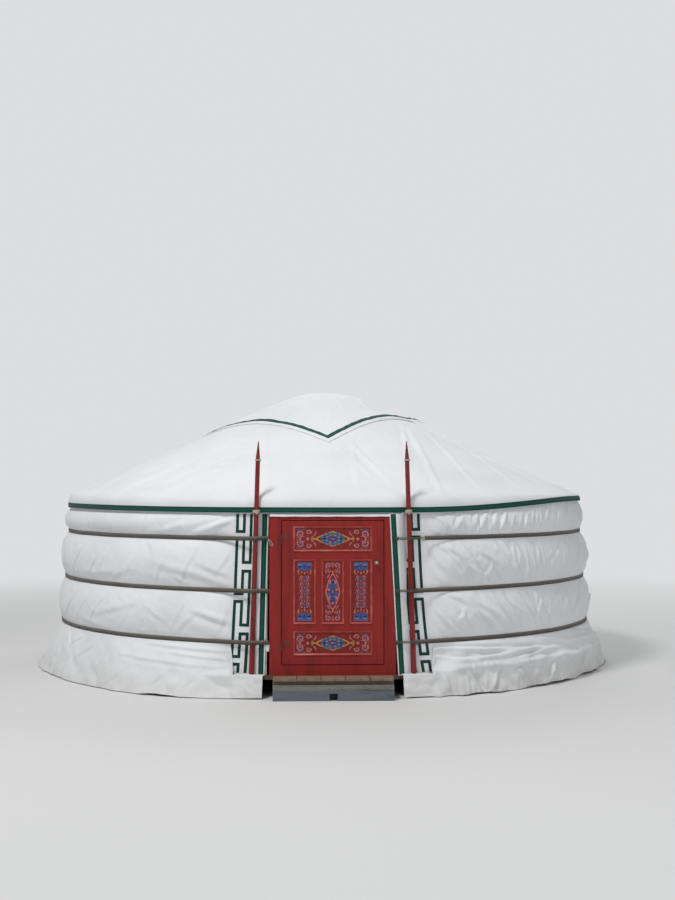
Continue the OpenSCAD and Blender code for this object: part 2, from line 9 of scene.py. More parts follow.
import bmesh
import bpy
import numpy as np
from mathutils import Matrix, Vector

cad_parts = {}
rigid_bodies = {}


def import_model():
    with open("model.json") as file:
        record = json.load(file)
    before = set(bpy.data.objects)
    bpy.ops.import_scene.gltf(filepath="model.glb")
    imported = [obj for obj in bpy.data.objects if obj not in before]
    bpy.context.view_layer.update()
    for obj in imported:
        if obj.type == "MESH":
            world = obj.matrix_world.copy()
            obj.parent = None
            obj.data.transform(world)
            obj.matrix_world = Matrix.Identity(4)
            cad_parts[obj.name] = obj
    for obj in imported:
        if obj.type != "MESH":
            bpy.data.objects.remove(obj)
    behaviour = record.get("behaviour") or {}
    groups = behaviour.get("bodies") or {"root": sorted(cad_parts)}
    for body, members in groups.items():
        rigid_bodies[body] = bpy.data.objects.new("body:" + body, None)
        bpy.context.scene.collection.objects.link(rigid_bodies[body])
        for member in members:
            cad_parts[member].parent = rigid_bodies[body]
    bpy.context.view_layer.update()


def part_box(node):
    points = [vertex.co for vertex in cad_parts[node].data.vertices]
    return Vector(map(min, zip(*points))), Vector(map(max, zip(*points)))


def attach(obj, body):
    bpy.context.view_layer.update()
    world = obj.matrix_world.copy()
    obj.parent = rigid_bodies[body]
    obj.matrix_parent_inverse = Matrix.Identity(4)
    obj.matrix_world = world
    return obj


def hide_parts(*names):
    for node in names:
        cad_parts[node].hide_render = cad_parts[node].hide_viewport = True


bl_info = {
    "name": "Yurt dressing",
    "version": (1, 0, 0),
    "blender": (4, 5, 0),
    "location": "3D View > Sidebar > Yurt",
    "description": "Canvas, tapes, belts, painted door and fittings for the packed yurt",
    "category": "Object",
}

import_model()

HOUSE = "yurt"
LEAF = "door"

# Lengths of the source, in metres. Azimuth 0 is the middle of the door and grows to the right.
FLOOR_Z = 0.2
WALL_R = 2.977
WALL_LEAN = math.radians(4.05)
COVER_T = 0.030
BELT_Z = (0.510, 0.990, 1.480)
BELT_LAND = 0.043
EDGE_X = 0.600
VALANCE_R = 2.89513
VALANCE_Z = 1.718
BAND_Z = 1.722
PITCH = math.radians(23.75)
D_OVER = 2.8716
D_UNDER = 2.8466
D_CROWN = 2.8841
ROOF_HOLE_R = 0.805
EAVE_ROUND = 0.090
DOME_R = 1.303
DECK_R = 3.050
FRAME_Y = -2.88013
PANEL_FACE_Y = FRAME_Y + 0.004
CROWN_SIDE = 1.850


def wall_line(z):
    """Radius of the leaning wall under a belt at height z."""
    return WALL_R - (z - FLOOR_Z) * math.tan(WALL_LEAN)


def slope_z(d, r):
    """Height of a roof slope at distance d from the origin."""
    return (d - math.sin(PITCH) * r) / math.cos(PITCH)


DOME_Z = slope_z(D_CROWN - DOME_R, 0)


# ---- small tools


def linear(hex_code):
    """Linear colour with full alpha from an sRGB hex code."""
    parts = [int(hex_code[i : i + 2], 16) / 255 for i in (1, 3, 5)]
    return (*[c / 12.92 if c <= 0.04045 else ((c + 0.055) / 1.055) ** 2.4 for c in parts], 1.0)


def length(name, text, default, highest):
    """A length that a user can change, in metres."""
    return bpy.props.FloatProperty(name=name, description=text, default=default, min=0.0005, max=highest,
                                   subtype="DISTANCE", unit="LENGTH")


def colour(name, text, default):
    """A colour that a user can change."""
    return bpy.props.FloatVectorProperty(name=name, description=text, default=linear(default), size=4, min=0.0,
                                         max=1.0, subtype="COLOR")


class YurtSizes(bpy.types.PropertyGroup):
    """Sizes of what is laid over the frame of the yurt."""

    canvas: length("Canvas", "Thickness of the wall, roof and skirt canvas", 0.004, 0.012)
    creases: bpy.props.FloatProperty(name="Creases", description="How strongly the belts crease the wall canvas",
                                     default=1.0, min=0.0, max=1.5, subtype="FACTOR")
    belt_width: length("Belt width", "Width of the webbing round the wall", 0.041, 0.08)
    belt_thickness: length("Belt thickness", "Thickness of the webbing at its middle", 0.008, 0.02)
    band_width: length("Eave band", "Width of the green band along the eave", 0.051, 0.09)
    edge_tape: length("Edge tapes", "Width of the tapes beside the door", 0.048, 0.08)
    crown_tape: length("Crown tape", "Width of the tape on the crown cover", 0.05, 0.09)
    border: length("Border", "Width of the strips of the meander", 0.028, 0.05)
    pole_cord: length("Pole cord", "Radius of the cord that ties the poles to the eave", 0.0052, 0.008)
    stitch_spacing: length("Stitch spacing", "Distance from stitch to stitch along the eave", 0.016, 0.1)
    stitch_length: length("Stitch length", "Length of a stitch along the eave", 0.009, 0.05)
    lattice_tie: length("Lattice ties", "Width of a leather tie at a crossing of the lattice", 0.016, 0.03)
    board_pitch: length("Floor boards", "Width of a floor board with its joint", 0.128, 0.3)
    tiles: bpy.props.IntProperty(name="Tiles", description="Clay tiles along the threshold", default=5, min=1, max=12)


class YurtColours(bpy.types.PropertyGroup):
    """Colours of the finishes; worn and shaded tones are worked out from them."""

    canvas: colour("Canvas", "Clean cotton canvas", "#E8EAEC")
    tape: colour("Tape", "Middle stripe of the eave band, the crown tape and the edge tapes", "#0D4F40")
    border: colour("Border", "Meander beside the door", "#0A3E34")
    webbing: colour("Webbing", "Hair webbing of the belts", "#474039")
    door: colour("Door", "Gloss paint of the door and its frame", "#8C1A14")
    panel: colour("Panels", "Ground of the painted panels", "#7C1713")
    pole: colour("Side poles", "Paint of the two poles beside the door", "#7A1B18")
    roof_pole: colour("Roof poles", "Paint of the roof poles and the crown ring", "#C4571F")
    slat: colour("Lattice", "Stain of the willow slats", "#A8602C")
    floor: colour("Floor", "Pine boards of the floor", "#B98E5C")
    step: colour("Step", "Weathered board of the step", "#7F7A73")
    plinth: colour("Plinth", "Faded timber under the step", "#626B74")
    clay: colour("Tiles", "Fired clay of the threshold", "#826A57")
    blue: colour("Blue enamel", "Blue of the door ornament", "#3A5699")
    rose: colour("Rose enamel", "Rose of the door ornament", "#BA6C6D")
    ochre: colour("Ochre enamel", "Ochre of the door ornament", "#BE8443")
    teal: colour("Teal enamel", "Teal of the door ornament", "#377068")


def sizes():
    """The sizes as they are set in the scene."""
    return bpy.context.scene.yurt_sizes


def tint(name, share=1.0):
    """A colour as it is set in the scene, or a darker or paler tone of it."""
    return (*[min(1.0, part * share) for part in getattr(bpy.context.scene.yurt_colours, name)[:3]], 1.0)


def add(tree, kind, inputs=None, **settings):
    """Adds a node with its settings, and links or sets its inputs."""
    node = tree.nodes.new(kind)
    for key, value in settings.items():
        setattr(node, key, value)
    for key, value in (inputs or {}).items():
        socket = node.inputs[key]
        if isinstance(value, bpy.types.NodeSocket):
            tree.links.new(value, socket)
        else:
            socket.default_value = value
    return node


def finish_material(name, build):
    """A material whose tree is built by build(tree, shader)."""
    found = bpy.data.materials.get(name)
    if found:
        return found
    material = bpy.data.materials.new(name)
    material.use_nodes = True
    tree = material.node_tree
    build(tree, tree.nodes["Principled BSDF"])
    return material


def set_inputs(tree, shader, **values):
    """Sets or links inputs of the shader, with underscores for the spaces in their names."""
    for key, value in values.items():
        socket = shader.inputs[key.replace("_", " ")]
        if isinstance(value, bpy.types.NodeSocket):
            tree.links.new(value, socket)
        else:
            socket.default_value = value


def shade_ramp(tree, factor, *stops):
    """Colours over a factor, from pairs of a place and a hex code or a linear colour."""
    node = add(tree, "ShaderNodeValToRGB", {"Fac": factor})
    ramp = node.color_ramp
    while len(ramp.elements) < len(stops):
        ramp.elements.new(0.5)
    for element, (place, tone) in zip(ramp.elements, stops):
        element.position, element.color = place, linear(tone) if isinstance(tone, str) else tone
    return node.outputs["Color"]


def out_at(az, r):
    """Plan position at azimuth az in degrees."""
    a = math.radians(az)
    return r * math.sin(a), -r * math.cos(a)


def run_along(path):
    """Distance along a path at each of its points."""
    return np.concatenate([[0], np.cumsum(np.linalg.norm(np.diff(path, axis=0), axis=1))])


def new_object(name, data):
    """A new object in the scene."""
    made = bpy.data.objects.new(name, data)
    bpy.context.scene.collection.objects.link(made)
    return made


def mesh_piece(name, verts, faces, material, uvs=None, smooth=True):
    """A new object with a mesh, its material and its UV map in metres."""
    mesh = bpy.data.meshes.new(name)
    mesh.from_pydata([tuple(v) for v in np.asarray(verts).tolist()], [], [tuple(f) for f in faces])
    if uvs is not None:
        layer = mesh.uv_layers.new(name="UVMap")
        corner_verts = np.zeros(len(mesh.loops), dtype=np.int32)
        mesh.loops.foreach_get("vertex_index", corner_verts)
        layer.data.foreach_set("uv", np.asarray(uvs, float)[corner_verts].ravel())
    mesh.polygons.foreach_set("use_smooth", np.full(len(mesh.polygons), smooth))
    mesh.materials.append(material)
    mesh.validate()
    mesh.update()
    return new_object(name, mesh)


def keep_on(obj, body, slot, *nodes):
    """Lets the piece ride on a body and stand for CAD nodes; the slot is not used."""
    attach(obj, body)
    if nodes:
        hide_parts(*nodes)
    return obj


def shell(name, points, uvs, thick, material, outward):
    """A closed sheet from a grid of points on its outer face, with its UV map in metres."""
    rows, cols = points.shape[:2]
    normal = np.cross(np.gradient(points, axis=0), np.gradient(points, axis=1))
    normal /= np.maximum(np.linalg.norm(normal, axis=2, keepdims=True), 1e-12)
    flip = (normal * outward).sum() < 0
    if flip:
        normal = -normal
    total = rows * cols
    verts = np.concatenate([points.reshape(-1, 3), (points - normal * thick).reshape(-1, 3)])
    index = np.arange(total).reshape(rows, cols)
    quads = np.stack([index[:-1, :-1], index[1:, :-1], index[1:, 1:], index[:-1, 1:]], axis=-1)
    quads = quads.reshape(-1, 4)
    rim = np.concatenate([index[:, 0], index[-1, 1:], index[-2::-1, -1], index[0, -2:0:-1]])
    after = np.roll(rim, -1)
    sides = np.stack([after, rim, rim + total, after + total], axis=-1)
    faces = np.concatenate([quads, quads[:, ::-1] + total, sides])
    if flip:
        faces = faces[:, ::-1]
    both = np.concatenate([uvs.reshape(-1, 2)] * 2)
    obj = mesh_piece(name, verts, faces.tolist(), material, both)
    on_rim = np.zeros(2 * total, dtype=bool)
    on_rim[rim], on_rim[rim + total] = True, True
    ends = np.zeros(2 * len(obj.data.edges), dtype=np.int32)
    obj.data.edges.foreach_get("vertices", ends)
    sharp = obj.data.attributes.new("sharp_edge", "BOOLEAN", "EDGE")
    sharp.data.foreach_set("value", on_rim[ends].reshape(-1, 2).all(axis=1))
    return obj


def smooth_noise(rng, x, y, size, octaves=3):
    """Soft noise about -1..1 over metres, made of turned waves of the given size."""
    total = np.zeros(np.broadcast(x, y).shape)
    weight = 0.0
    for octave in range(octaves):
        for _ in range(4):
            turn, phase = rng.uniform(0, 2 * math.pi), rng.uniform(0, 2 * math.pi)
            reach = size / 2**octave * rng.uniform(0.8, 1.25)
            run = (x * math.cos(turn) + y * math.sin(turn)) / reach
            total = total + 0.5**octave * np.sin(2 * math.pi * run + phase)
        weight += 0.5**octave * 2
    return total / weight


def ease(value):
    """Smooth step of a value that is clipped to 0..1."""
    value = np.clip(value, 0, 1)
    return value * value * (3 - 2 * value)


def crease(s, z, start, end, height, width, bow=0.0):
    """A pulled crease from start to end: a soft ridge with a valley on its lower side."""
    (s0, z0), (s1, z1) = start, end
    length = math.hypot(s1 - s0, z1 - z0)
    along = ((s - s0) * (s1 - s0) + (z - z0) * (z1 - z0)) / length
    t = np.clip(along / length, 0, 1)
    off = ((s - s0) * -(z1 - z0) + (z - z0) * (s1 - s0)) / length - bow * np.sin(math.pi * t)
    beyond = np.maximum(np.maximum(-along, along - length), 0)
    fade = np.sin(math.pi * (0.08 + 0.84 * t)) ** 0.8 * np.exp(-((beyond / (1.5 * width)) ** 2))
    ridge = np.exp(-((off / width) ** 2)) - 0.7 * np.exp(-(((off + 1.7 * width) / width) ** 2))
    return height * fade * ridge


# ---- finishes


def canvas_finish():
    """White cotton canvas, woven and proofed: matt, faintly mottled, greyer where it lies near the ground."""

    def build(tree, shader):
        place = add(tree, "ShaderNodeTexCoord").outputs
        mottle = add(tree, "ShaderNodeTexNoise", {"Vector": place["Object"], "Scale": 1.6, "Detail": 5.0})
        colour = shade_ramp(tree, mottle.outputs["Fac"], (0.3, tint("canvas", 0.93)), (0.55, tint("canvas")),
                            (0.8, tint("canvas", 1.03)))
        height = add(tree, "ShaderNodeSeparateXYZ", {"Vector": place["Object"]}).outputs["Z"]
        low = add(tree, "ShaderNodeMapRange", {"Value": height, "From Min": 0.02, "From Max": 0.42,
                                               "To Min": 0.55, "To Max": 0.0})
        splash = add(tree, "ShaderNodeTexNoise", {"Vector": place["Object"], "Scale": 7.0, "Detail": 6.0})
        dirt = add(tree, "ShaderNodeMath", {0: low.outputs["Result"], 1: splash.outputs["Fac"]},
                   operation="MULTIPLY").outputs[0]
        soiled = add(tree, "ShaderNodeMix", {"Factor": dirt, "A": colour, "B": linear("#A59B8A")},
                     data_type="RGBA")
        set_inputs(tree, shader, Base_Color=soiled.outputs[2], Roughness=0.88, Sheen_Weight=0.15)
        # Threads lie 0.8 mm apart, too fine to show, so the weave is drawn at 6 mm
        bands = [add(tree, "ShaderNodeTexWave", {"Vector": place["UV"], "Scale": 52.0, "Distortion": 0.4},
                     bands_direction=way).outputs["Fac"] for way in ("X", "Y")]
        weave = add(tree, "ShaderNodeMath", {0: bands[0], 1: bands[1]}, operation="ADD").outputs[0]
        crumple = add(tree, "ShaderNodeTexNoise", {"Vector": place["Object"], "Scale": 13.0, "Detail": 7.0,
                                                   "Roughness": 0.62, "Distortion": 0.5})
        fine = add(tree, "ShaderNodeBump", {"Height": weave, "Strength": 0.10, "Distance": 0.0006})
        bump = add(tree, "ShaderNodeBump", {"Height": crumple.outputs["Fac"], "Strength": 0.8,
                                            "Distance": 0.006, "Normal": fine.outputs["Normal"]})
        set_inputs(tree, shader, Normal=bump.outputs["Normal"])

    return finish_material("white_cotton_canvas", build)


def felt_finish():
    """Pressed wool felt: off-white with darker wool in it, quite matt, with a soft uneven face."""

    def build(tree, shader):
        place = add(tree, "ShaderNodeTexCoord").outputs["Object"]
        cloud = add(tree, "ShaderNodeTexNoise", {"Vector": place, "Scale": 9.0, "Detail": 9.0, "Roughness": 0.7})
        colour = shade_ramp(tree, cloud.outputs["Fac"], (0.35, "#A79F92"), (0.55, "#C9C3B6"), (0.75, "#DAD6CC"))
        bump = add(tree, "ShaderNodeBump", {"Height": cloud.outputs["Fac"], "Strength": 0.5, "Distance": 0.008})
        set_inputs(tree, shader, Base_Color=colour, Roughness=0.97, Sheen_Weight=0.35, Normal=bump.outputs["Normal"])

    return finish_material("pressed_wool_felt", build)


def tape_finish(name, edge, middle):
    """Woven wool tape: ribs across it every 3 mm, and a paler stripe along its middle."""

    def build(tree, shader):
        place = add(tree, "ShaderNodeTexCoord").outputs
        across = add(tree, "ShaderNodeSeparateXYZ", {"Vector": place["UV"]}).outputs["Y"]
        fleck = add(tree, "ShaderNodeTexNoise", {"Vector": place["UV"], "Scale": 60.0, "Detail": 4.0})
        nudge = add(tree, "ShaderNodeMath", {0: fleck.outputs["Fac"], 1: 0.12}, operation="MULTIPLY").outputs[0]
        where = add(tree, "ShaderNodeMath", {0: across, 1: nudge}, operation="ADD").outputs[0]
        colour = shade_ramp(tree, where, (0.0, edge), (0.34, edge), (0.42, middle), (0.70, middle), (0.78, edge))
        ribs = add(tree, "ShaderNodeTexWave", {"Vector": place["UV"], "Scale": 105.0, "Distortion": 0.6})
        bump = add(tree, "ShaderNodeBump", {"Height": ribs.outputs["Fac"], "Strength": 0.35, "Distance": 0.001})
        set_inputs(tree, shader, Base_Color=colour, Roughness=0.92, Sheen_Weight=0.04, IOR=1.4,
                   Normal=bump.outputs["Normal"])

    return finish_material(name, build)


def webbing_finish():
    """Hair webbing: brown and grey strands lengthwise, with painted light across it: a pale upper edge as a painted
    highlight and a dark lower edge as painted shade.
    """

    def build(tree, shader):
        place = add(tree, "ShaderNodeTexCoord").outputs
        across = add(tree, "ShaderNodeSeparateXYZ", {"Vector": place["UV"]}).outputs["Y"]
        strands = add(tree, "ShaderNodeMapping", {"Vector": place["UV"], "Scale": (9.0, 22.0, 1.0)})
        streak = add(tree, "ShaderNodeTexNoise", {"Vector": strands.outputs["Vector"], "Scale": 1.0, "Detail": 6.0})
        lean = add(tree, "ShaderNodeMath", {0: streak.outputs["Fac"], 1: 0.5}, operation="MULTIPLY").outputs[0]
        where = add(tree, "ShaderNodeMath", {0: across, 1: lean}, operation="ADD").outputs[0]
        # Painted light: paler towards the upper edge and darker towards the lower edge, as light falls from above
        colour = shade_ramp(tree, where, (0.15, tint("webbing", 0.4)), (0.5, tint("webbing")),
                            (0.85, tint("webbing", 1.6)), (1.1, tint("webbing", 2.6)))
        twill = add(tree, "ShaderNodeTexWave", {"Vector": place["UV"], "Scale": 40.0, "Distortion": 1.5},
                    bands_direction="DIAGONAL")
        bump = add(tree, "ShaderNodeBump", {"Height": twill.outputs["Fac"], "Strength": 0.6, "Distance": 0.0025})
        set_inputs(tree, shader, Base_Color=colour, Roughness=0.92, Sheen_Weight=0.25, Normal=bump.outputs["Normal"])

    return finish_material("hair_webbing", build)


def rope_finish(name, pale, dark):
    """Twisted cord: strands that wind round it, with shade between them."""

    def build(tree, shader):
        place = add(tree, "ShaderNodeTexCoord").outputs["UV"]
        twist = add(tree, "ShaderNodeTexWave", {"Vector": place, "Scale": 34.0, "Distortion": 0.8},
                    bands_direction="DIAGONAL")
        colour = shade_ramp(tree, twist.outputs["Fac"], (0.1, dark), (0.6, pale))
        bump = add(tree, "ShaderNodeBump", {"Height": twist.outputs["Fac"], "Strength": 0.8, "Distance": 0.002})
        set_inputs(tree, shader, Base_Color=colour, Roughness=0.9, Normal=bump.outputs["Normal"])

    return finish_material(name, build)


def paint_finish(name, coat, worn, gloss, stretch=(1.0, 1.0, 0.12)):
    """Brushed gloss paint on timber: fine brush marks along the grain, and duller, paler patches of wear."""

    def build(tree, shader):
        place = add(tree, "ShaderNodeTexCoord").outputs["Object"]
        along = add(tree, "ShaderNodeMapping", {"Vector": place, "Scale": stretch}).outputs["Vector"]
        strokes = add(tree, "ShaderNodeTexNoise", {"Vector": along, "Scale": 160.0, "Detail": 4.0})
        patches = add(tree, "ShaderNodeTexNoise", {"Vector": along, "Scale": 11.0, "Detail": 7.0, "Roughness": 0.6})
        colour = shade_ramp(tree, patches.outputs["Fac"], (0.32, worn), (0.50, coat), (0.85, coat))
        rough = add(tree, "ShaderNodeMapRange", {"Value": patches.outputs["Fac"], "From Min": 0.3, "From Max": 0.7,
                                                 "To Min": gloss + 0.22, "To Max": gloss})
        bump = add(tree, "ShaderNodeBump", {"Height": strokes.outputs["Fac"], "Strength": 0.25, "Distance": 0.0008})
        set_inputs(tree, shader, Base_Color=colour, Roughness=rough.outputs["Result"], IOR=1.42, Coat_Weight=0.04,
                   Coat_Roughness=0.35, Normal=bump.outputs["Normal"])

    return finish_material(name, build)


def wood_finish(name, pale, dark, grain_mm, stretch, roughness, crack=0.0):
    """Timber: long grain lines and darker streaks; weathered boards also open along the grain."""

    def build(tree, shader):
        place = add(tree, "ShaderNodeTexCoord").outputs["Object"]
        along = add(tree, "ShaderNodeMapping", {"Vector": place, "Scale": stretch}).outputs["Vector"]
        grain = add(tree, "ShaderNodeTexNoise", {"Vector": along, "Scale": 1000.0 / grain_mm, "Detail": 6.0,
                                                 "Roughness": 0.65, "Distortion": 0.3})
        streak = add(tree, "ShaderNodeTexNoise", {"Vector": along, "Scale": 200.0 / grain_mm, "Detail": 3.0})
        tone = add(tree, "ShaderNodeMix", {"Factor": 0.45, "A": grain.outputs["Fac"], "B": streak.outputs["Fac"]},
                   data_type="FLOAT").outputs[0]
        colour = shade_ramp(tree, tone, (0.36, dark), (0.52, pale), (0.7, pale))
        bump = add(tree, "ShaderNodeBump", {"Height": grain.outputs["Fac"], "Strength": 0.35 + crack,
                                            "Distance": 0.0015 + 0.003 * crack})
        set_inputs(tree, shader, Base_Color=colour, Roughness=roughness, Normal=bump.outputs["Normal"])

    return finish_material(name, build)


def clay_finish():
    """Unglazed clay tile: sandy buff body with darker fired spots and a dusty, dented face."""

    def build(tree, shader):
        place = add(tree, "ShaderNodeTexCoord").outputs["Object"]
        body = add(tree, "ShaderNodeTexNoise", {"Vector": place, "Scale": 16.0, "Detail": 8.0, "Roughness": 0.7})
        spots = add(tree, "ShaderNodeTexVoronoi", {"Vector": place, "Scale": 90.0})
        colour = shade_ramp(tree, body.outputs["Fac"], (0.3, tint("clay", 0.62)), (0.5, tint("clay")),
                            (0.72, tint("clay", 1.4)))
        fired = shade_ramp(tree, spots.outputs["Distance"], (0.05, "#6B5442"), (0.22, "#FFFFFF"))
        mixed = add(tree, "ShaderNodeMix", {"Factor": 0.5, "A": colour, "B": fired}, data_type="RGBA",
                    blend_type="MULTIPLY")
        bump = add(tree, "ShaderNodeBump", {"Height": body.outputs["Fac"], "Strength": 0.5, "Distance": 0.003})
        set_inputs(tree, shader, Base_Color=mixed.outputs[2], Roughness=0.85, Normal=bump.outputs["Normal"])

    return finish_material("fired_clay_tile", build)


def metal_finish(name, colour, roughness, metallic, scratch_scale):
    """Steel, turned and brushed, as on the knob."""

    def build(tree, shader):
        place = add(tree, "ShaderNodeTexCoord").outputs["Object"]
        marks = add(tree, "ShaderNodeTexNoise", {"Vector": place, "Scale": scratch_scale, "Detail": 5.0})
        rough = add(tree, "ShaderNodeMapRange", {"Value": marks.outputs["Fac"], "To Min": roughness - 0.1,
                                                 "To Max": roughness + 0.15})
        bump = add(tree, "ShaderNodeBump", {"Height": marks.outputs["Fac"], "Strength": 0.2, "Distance": 0.0005})
        tone = shade_ramp(tree, marks.outputs["Fac"], (0.3, colour[0]), (0.7, colour[1]))
        shader.inputs["Metallic"].default_value = metallic
        set_inputs(tree, shader, Base_Color=tone, Roughness=rough.outputs["Result"], Normal=bump.outputs["Normal"])

    return finish_material(name, build)


def enamel_finish(name, coat, worn):
    """Hand-brushed enamel of the painted ornament: semi-gloss, a little uneven in tone."""

    def build(tree, shader):
        place = add(tree, "ShaderNodeTexCoord").outputs["Object"]
        strokes = add(tree, "ShaderNodeTexNoise", {"Vector": place, "Scale": 70.0, "Detail": 4.0})
        colour = shade_ramp(tree, strokes.outputs["Fac"], (0.3, worn), (0.55, coat))
        bump = add(tree, "ShaderNodeBump", {"Height": strokes.outputs["Fac"], "Strength": 0.2, "Distance": 0.0005})
        set_inputs(tree, shader, Base_Color=colour, Roughness=0.45, Normal=bump.outputs["Normal"])

    return finish_material(name, build)


FINISHES = {
    "canvas": canvas_finish,
    "felt": felt_finish,
    "green_tape": lambda: tape_finish("green_wool_tape", tint("tape", 0.62), tint("tape")),
    "border": lambda: tape_finish("green_border_tape", tint("border", 0.7), tint("border")),
    "webbing": webbing_finish,
    "pale_cord": lambda: rope_finish("pale_cotton_cord", "#D8D2C6", "#8E867A"),
    "grey_cord": lambda: rope_finish("grey_hair_cord", "#6E655D", "#332D29"),
    "door_red": lambda: paint_finish("red_gloss_paint", tint("door"), tint("door", 0.68), 0.46),
    "panel_red": lambda: paint_finish("dark_red_panel_paint", tint("panel"), tint("panel", 0.7), 0.5),
    "pole_red": lambda: paint_finish("maroon_pole_paint", tint("pole"), tint("pole", 0.55), 0.46),
    "orange": lambda: paint_finish("orange_pole_paint", tint("roof_pole"), tint("roof_pole", 0.62), 0.42),
    "slat": lambda: wood_finish("stained_willow", tint("slat"), tint("slat", 0.38), 5.0, (1.0, 1.0, 0.1), 0.6),
    "boards": lambda: wood_finish("planed_pine", tint("floor"), tint("floor", 0.5), 6.0, (1.0, 0.06, 1.0), 0.6),
    # The deck's front edge is seen in the shade beside the step: its timber is darkened as painted shade, over its own
    # grain
    "deck": lambda: wood_finish("damp_deck_timber", "#6A5646", "#45382C", 7.0, (1.0, 0.06, 1.0), 0.8, 0.3),
    # The mouldings are painted a paler pink than the door: a painted highlight along the edges of the panels
    "moulding": lambda: paint_finish("rubbed_red_paint", "#A33A30", "#C07066", 0.34, (0.6, 0.6, 0.6)),
    "beam": lambda: wood_finish("sawn_pine", "#A9855A", "#7A5A36", 6.0, (0.1, 1.0, 1.0), 0.7),
    "step": lambda: wood_finish("weathered_larch", tint("step"), tint("step", 0.33), 7.0, (0.05, 1.0, 1.0), 0.85, 0.5),
    "plinth": lambda: wood_finish("faded_blue_grey_timber", tint("plinth"), tint("plinth", 0.42), 9.0,
                                  (0.06, 1.0, 1.0), 0.85, 0.35),
    "clay": clay_finish,
    "amber": lambda: enamel_finish("amber_enamel", tint("ochre", 0.8), tint("ochre", 0.55)),
    "leather": lambda: paint_finish("oiled_leather", "#4A2C1A", "#2E1B10", 0.55),
    "thread": lambda: rope_finish("waxed_thread", "#4F7A69", "#2F5244"),
    "hinge": lambda: paint_finish("red_painted_iron", "#7E2823", "#5A1F1C", 0.42),
    "knob": lambda: metal_finish("satin_turned_steel", ("#8F8B83", "#A8A49B"), 0.46, 1.0, 260.0),
    "blue": lambda: enamel_finish("blue_enamel", tint("blue"), tint("blue", 0.66)),
    "pink": lambda: enamel_finish("rose_enamel", tint("rose"), tint("rose", 0.66)),
    "ochre": lambda: enamel_finish("ochre_enamel", tint("ochre"), tint("ochre", 0.66)),
    "deep_blue": lambda: enamel_finish("deep_blue_enamel", tint("blue", 0.45), tint("blue", 0.3)),
    "teal": lambda: enamel_finish("teal_enamel", tint("teal"), tint("teal", 0.66)),
}


def finish(name):
    """The material of that finish, made on first use."""
    return FINISHES[name]()


# ---- canvas

BAY_ENDS = (
    (BELT_Z[0] + BELT_LAND / 2, BELT_Z[1] - BELT_LAND / 2),
    (BELT_Z[1] + BELT_LAND / 2, BELT_Z[2] - BELT_LAND / 2),
    (BELT_Z[2] + BELT_LAND / 2, VALANCE_Z - 0.005),
)
# Radii at which lengths along the wall and along the skirt are measured, and the wall canvas's upper edge
ARC_R = 2.93
SKIRT_ARC_R = 3.1
WALL_TOP_Z = 1.795
# Axis of the right side pole: its foot and a point further up
POLE_FOOT = (0.760, -2.8918, 0.2128)
POLE_LEAN = (0.71646, -2.83582, 1.800)
POLE_R = 0.026

# Creases that the belts and the eave pull: azimuth and height of both ends, then height and width in mm
LEFT_CREASES = (
    (-18, 1.68, -28, 1.51, 12, 22), (-19, 1.64, -24, 1.55, 8, 18), (-38, 1.72, -39, 1.54, 9, 18),
    (-47, 1.66, -48, 1.5, 6, 20), (-29, 1.61, -35, 1.52, 6, 22), (-43, 1.49, -34, 1.55, 4, 20),
    (-58, 1.65, -57, 1.53, 4, 20), (-21, 1.69, -26, 1.63, 4, 16), (-38, 1.44, -36, 1.34, 4, 20),
    (-35, 1.21, -19, 1.05, 6, 30), (-31, 1.11, -28, 1.04, 5, 18), (-48, 1.04, -45, 1.11, 6, 14),
    (-63, 1.08, -41, 1.16, 4, 28), (-26, 1.25, -19, 1.13, 4, 22), (-68, 1.33, -63, 1.06, 4, 24),
    (-41, 0.93, -38, 0.99, 4, 14), (-26, 0.79, -19, 0.69, 7, 24), (-59, 0.62, -46, 0.52, 5, 24),
    (-54, 0.7, -39, 0.85, 4, 24), (-30, 0.58, -26, 0.75, 4, 18), (-38, 0.82, -32, 0.67, 4, 20),
)
RIGHT_CREASES = (
    (17, 1.7, 20, 1.54, 8, 18), (21, 1.68, 23, 1.53, 8, 18), (26, 1.67, 24, 1.56, 8, 16),
    (29, 1.7, 28, 1.52, 9, 16), (32, 1.72, 29, 1.5, 9, 16), (34, 1.71, 32, 1.5, 9, 16),
    (37, 1.73, 34, 1.51, 8, 14), (40, 1.75, 38, 1.52, 9, 14), (44, 1.75, 41, 1.53, 9, 14),
    (47, 1.76, 45, 1.54, 8, 14), (51, 1.76, 48, 1.55, 8, 14), (55, 1.75, 54, 1.55, 7, 14),
    (62, 1.81, 58, 1.56, 7, 14), (17, 1.29, 21, 1.06, 9, 20), (18, 1.41, 22, 1.18, 5, 22),
    (26, 1.22, 30, 1.07, 9, 20), (21, 1.4, 26, 1.28, 5, 22), (29, 1.34, 33, 1.23, 6, 18),
    (32, 1.21, 30, 1.08, 5, 16), (38, 1.42, 38, 1.2, 6, 16), (39, 1.37, 39, 1.21, 6, 14),
    (45, 1.43, 45, 1.24, 7, 14), (55, 1.34, 49, 1.18, 6, 16), (58, 1.44, 63, 1.11, 7, 16),
    (68, 1.45, 62, 1.08, 8, 16), (41, 1.2, 41, 1.07, 6, 14), (18, 0.97, 21, 0.7, 9, 20),
    (21, 0.98, 27, 0.84, 7, 20), (27, 0.88, 36, 0.62, 12, 22), (25, 0.78, 24, 0.71, 5, 16),
    (29, 0.76, 33, 0.6, 8, 18), (31, 1.0, 34, 0.8, 6, 18), (37, 0.82, 41, 0.65, 8, 18),
    (44, 0.96, 44, 0.7, 7, 16), (46, 0.9, 44, 0.68, 7, 16), (52, 0.94, 53, 0.73, 7, 14),
    (57, 0.87, 52, 0.65, 8, 14), (67, 0.92, 57, 0.63, 8, 14), (78, 0.78, 64, 0.62, 7, 14),
    (19, 0.78, 21, 0.59, 6, 18),
)


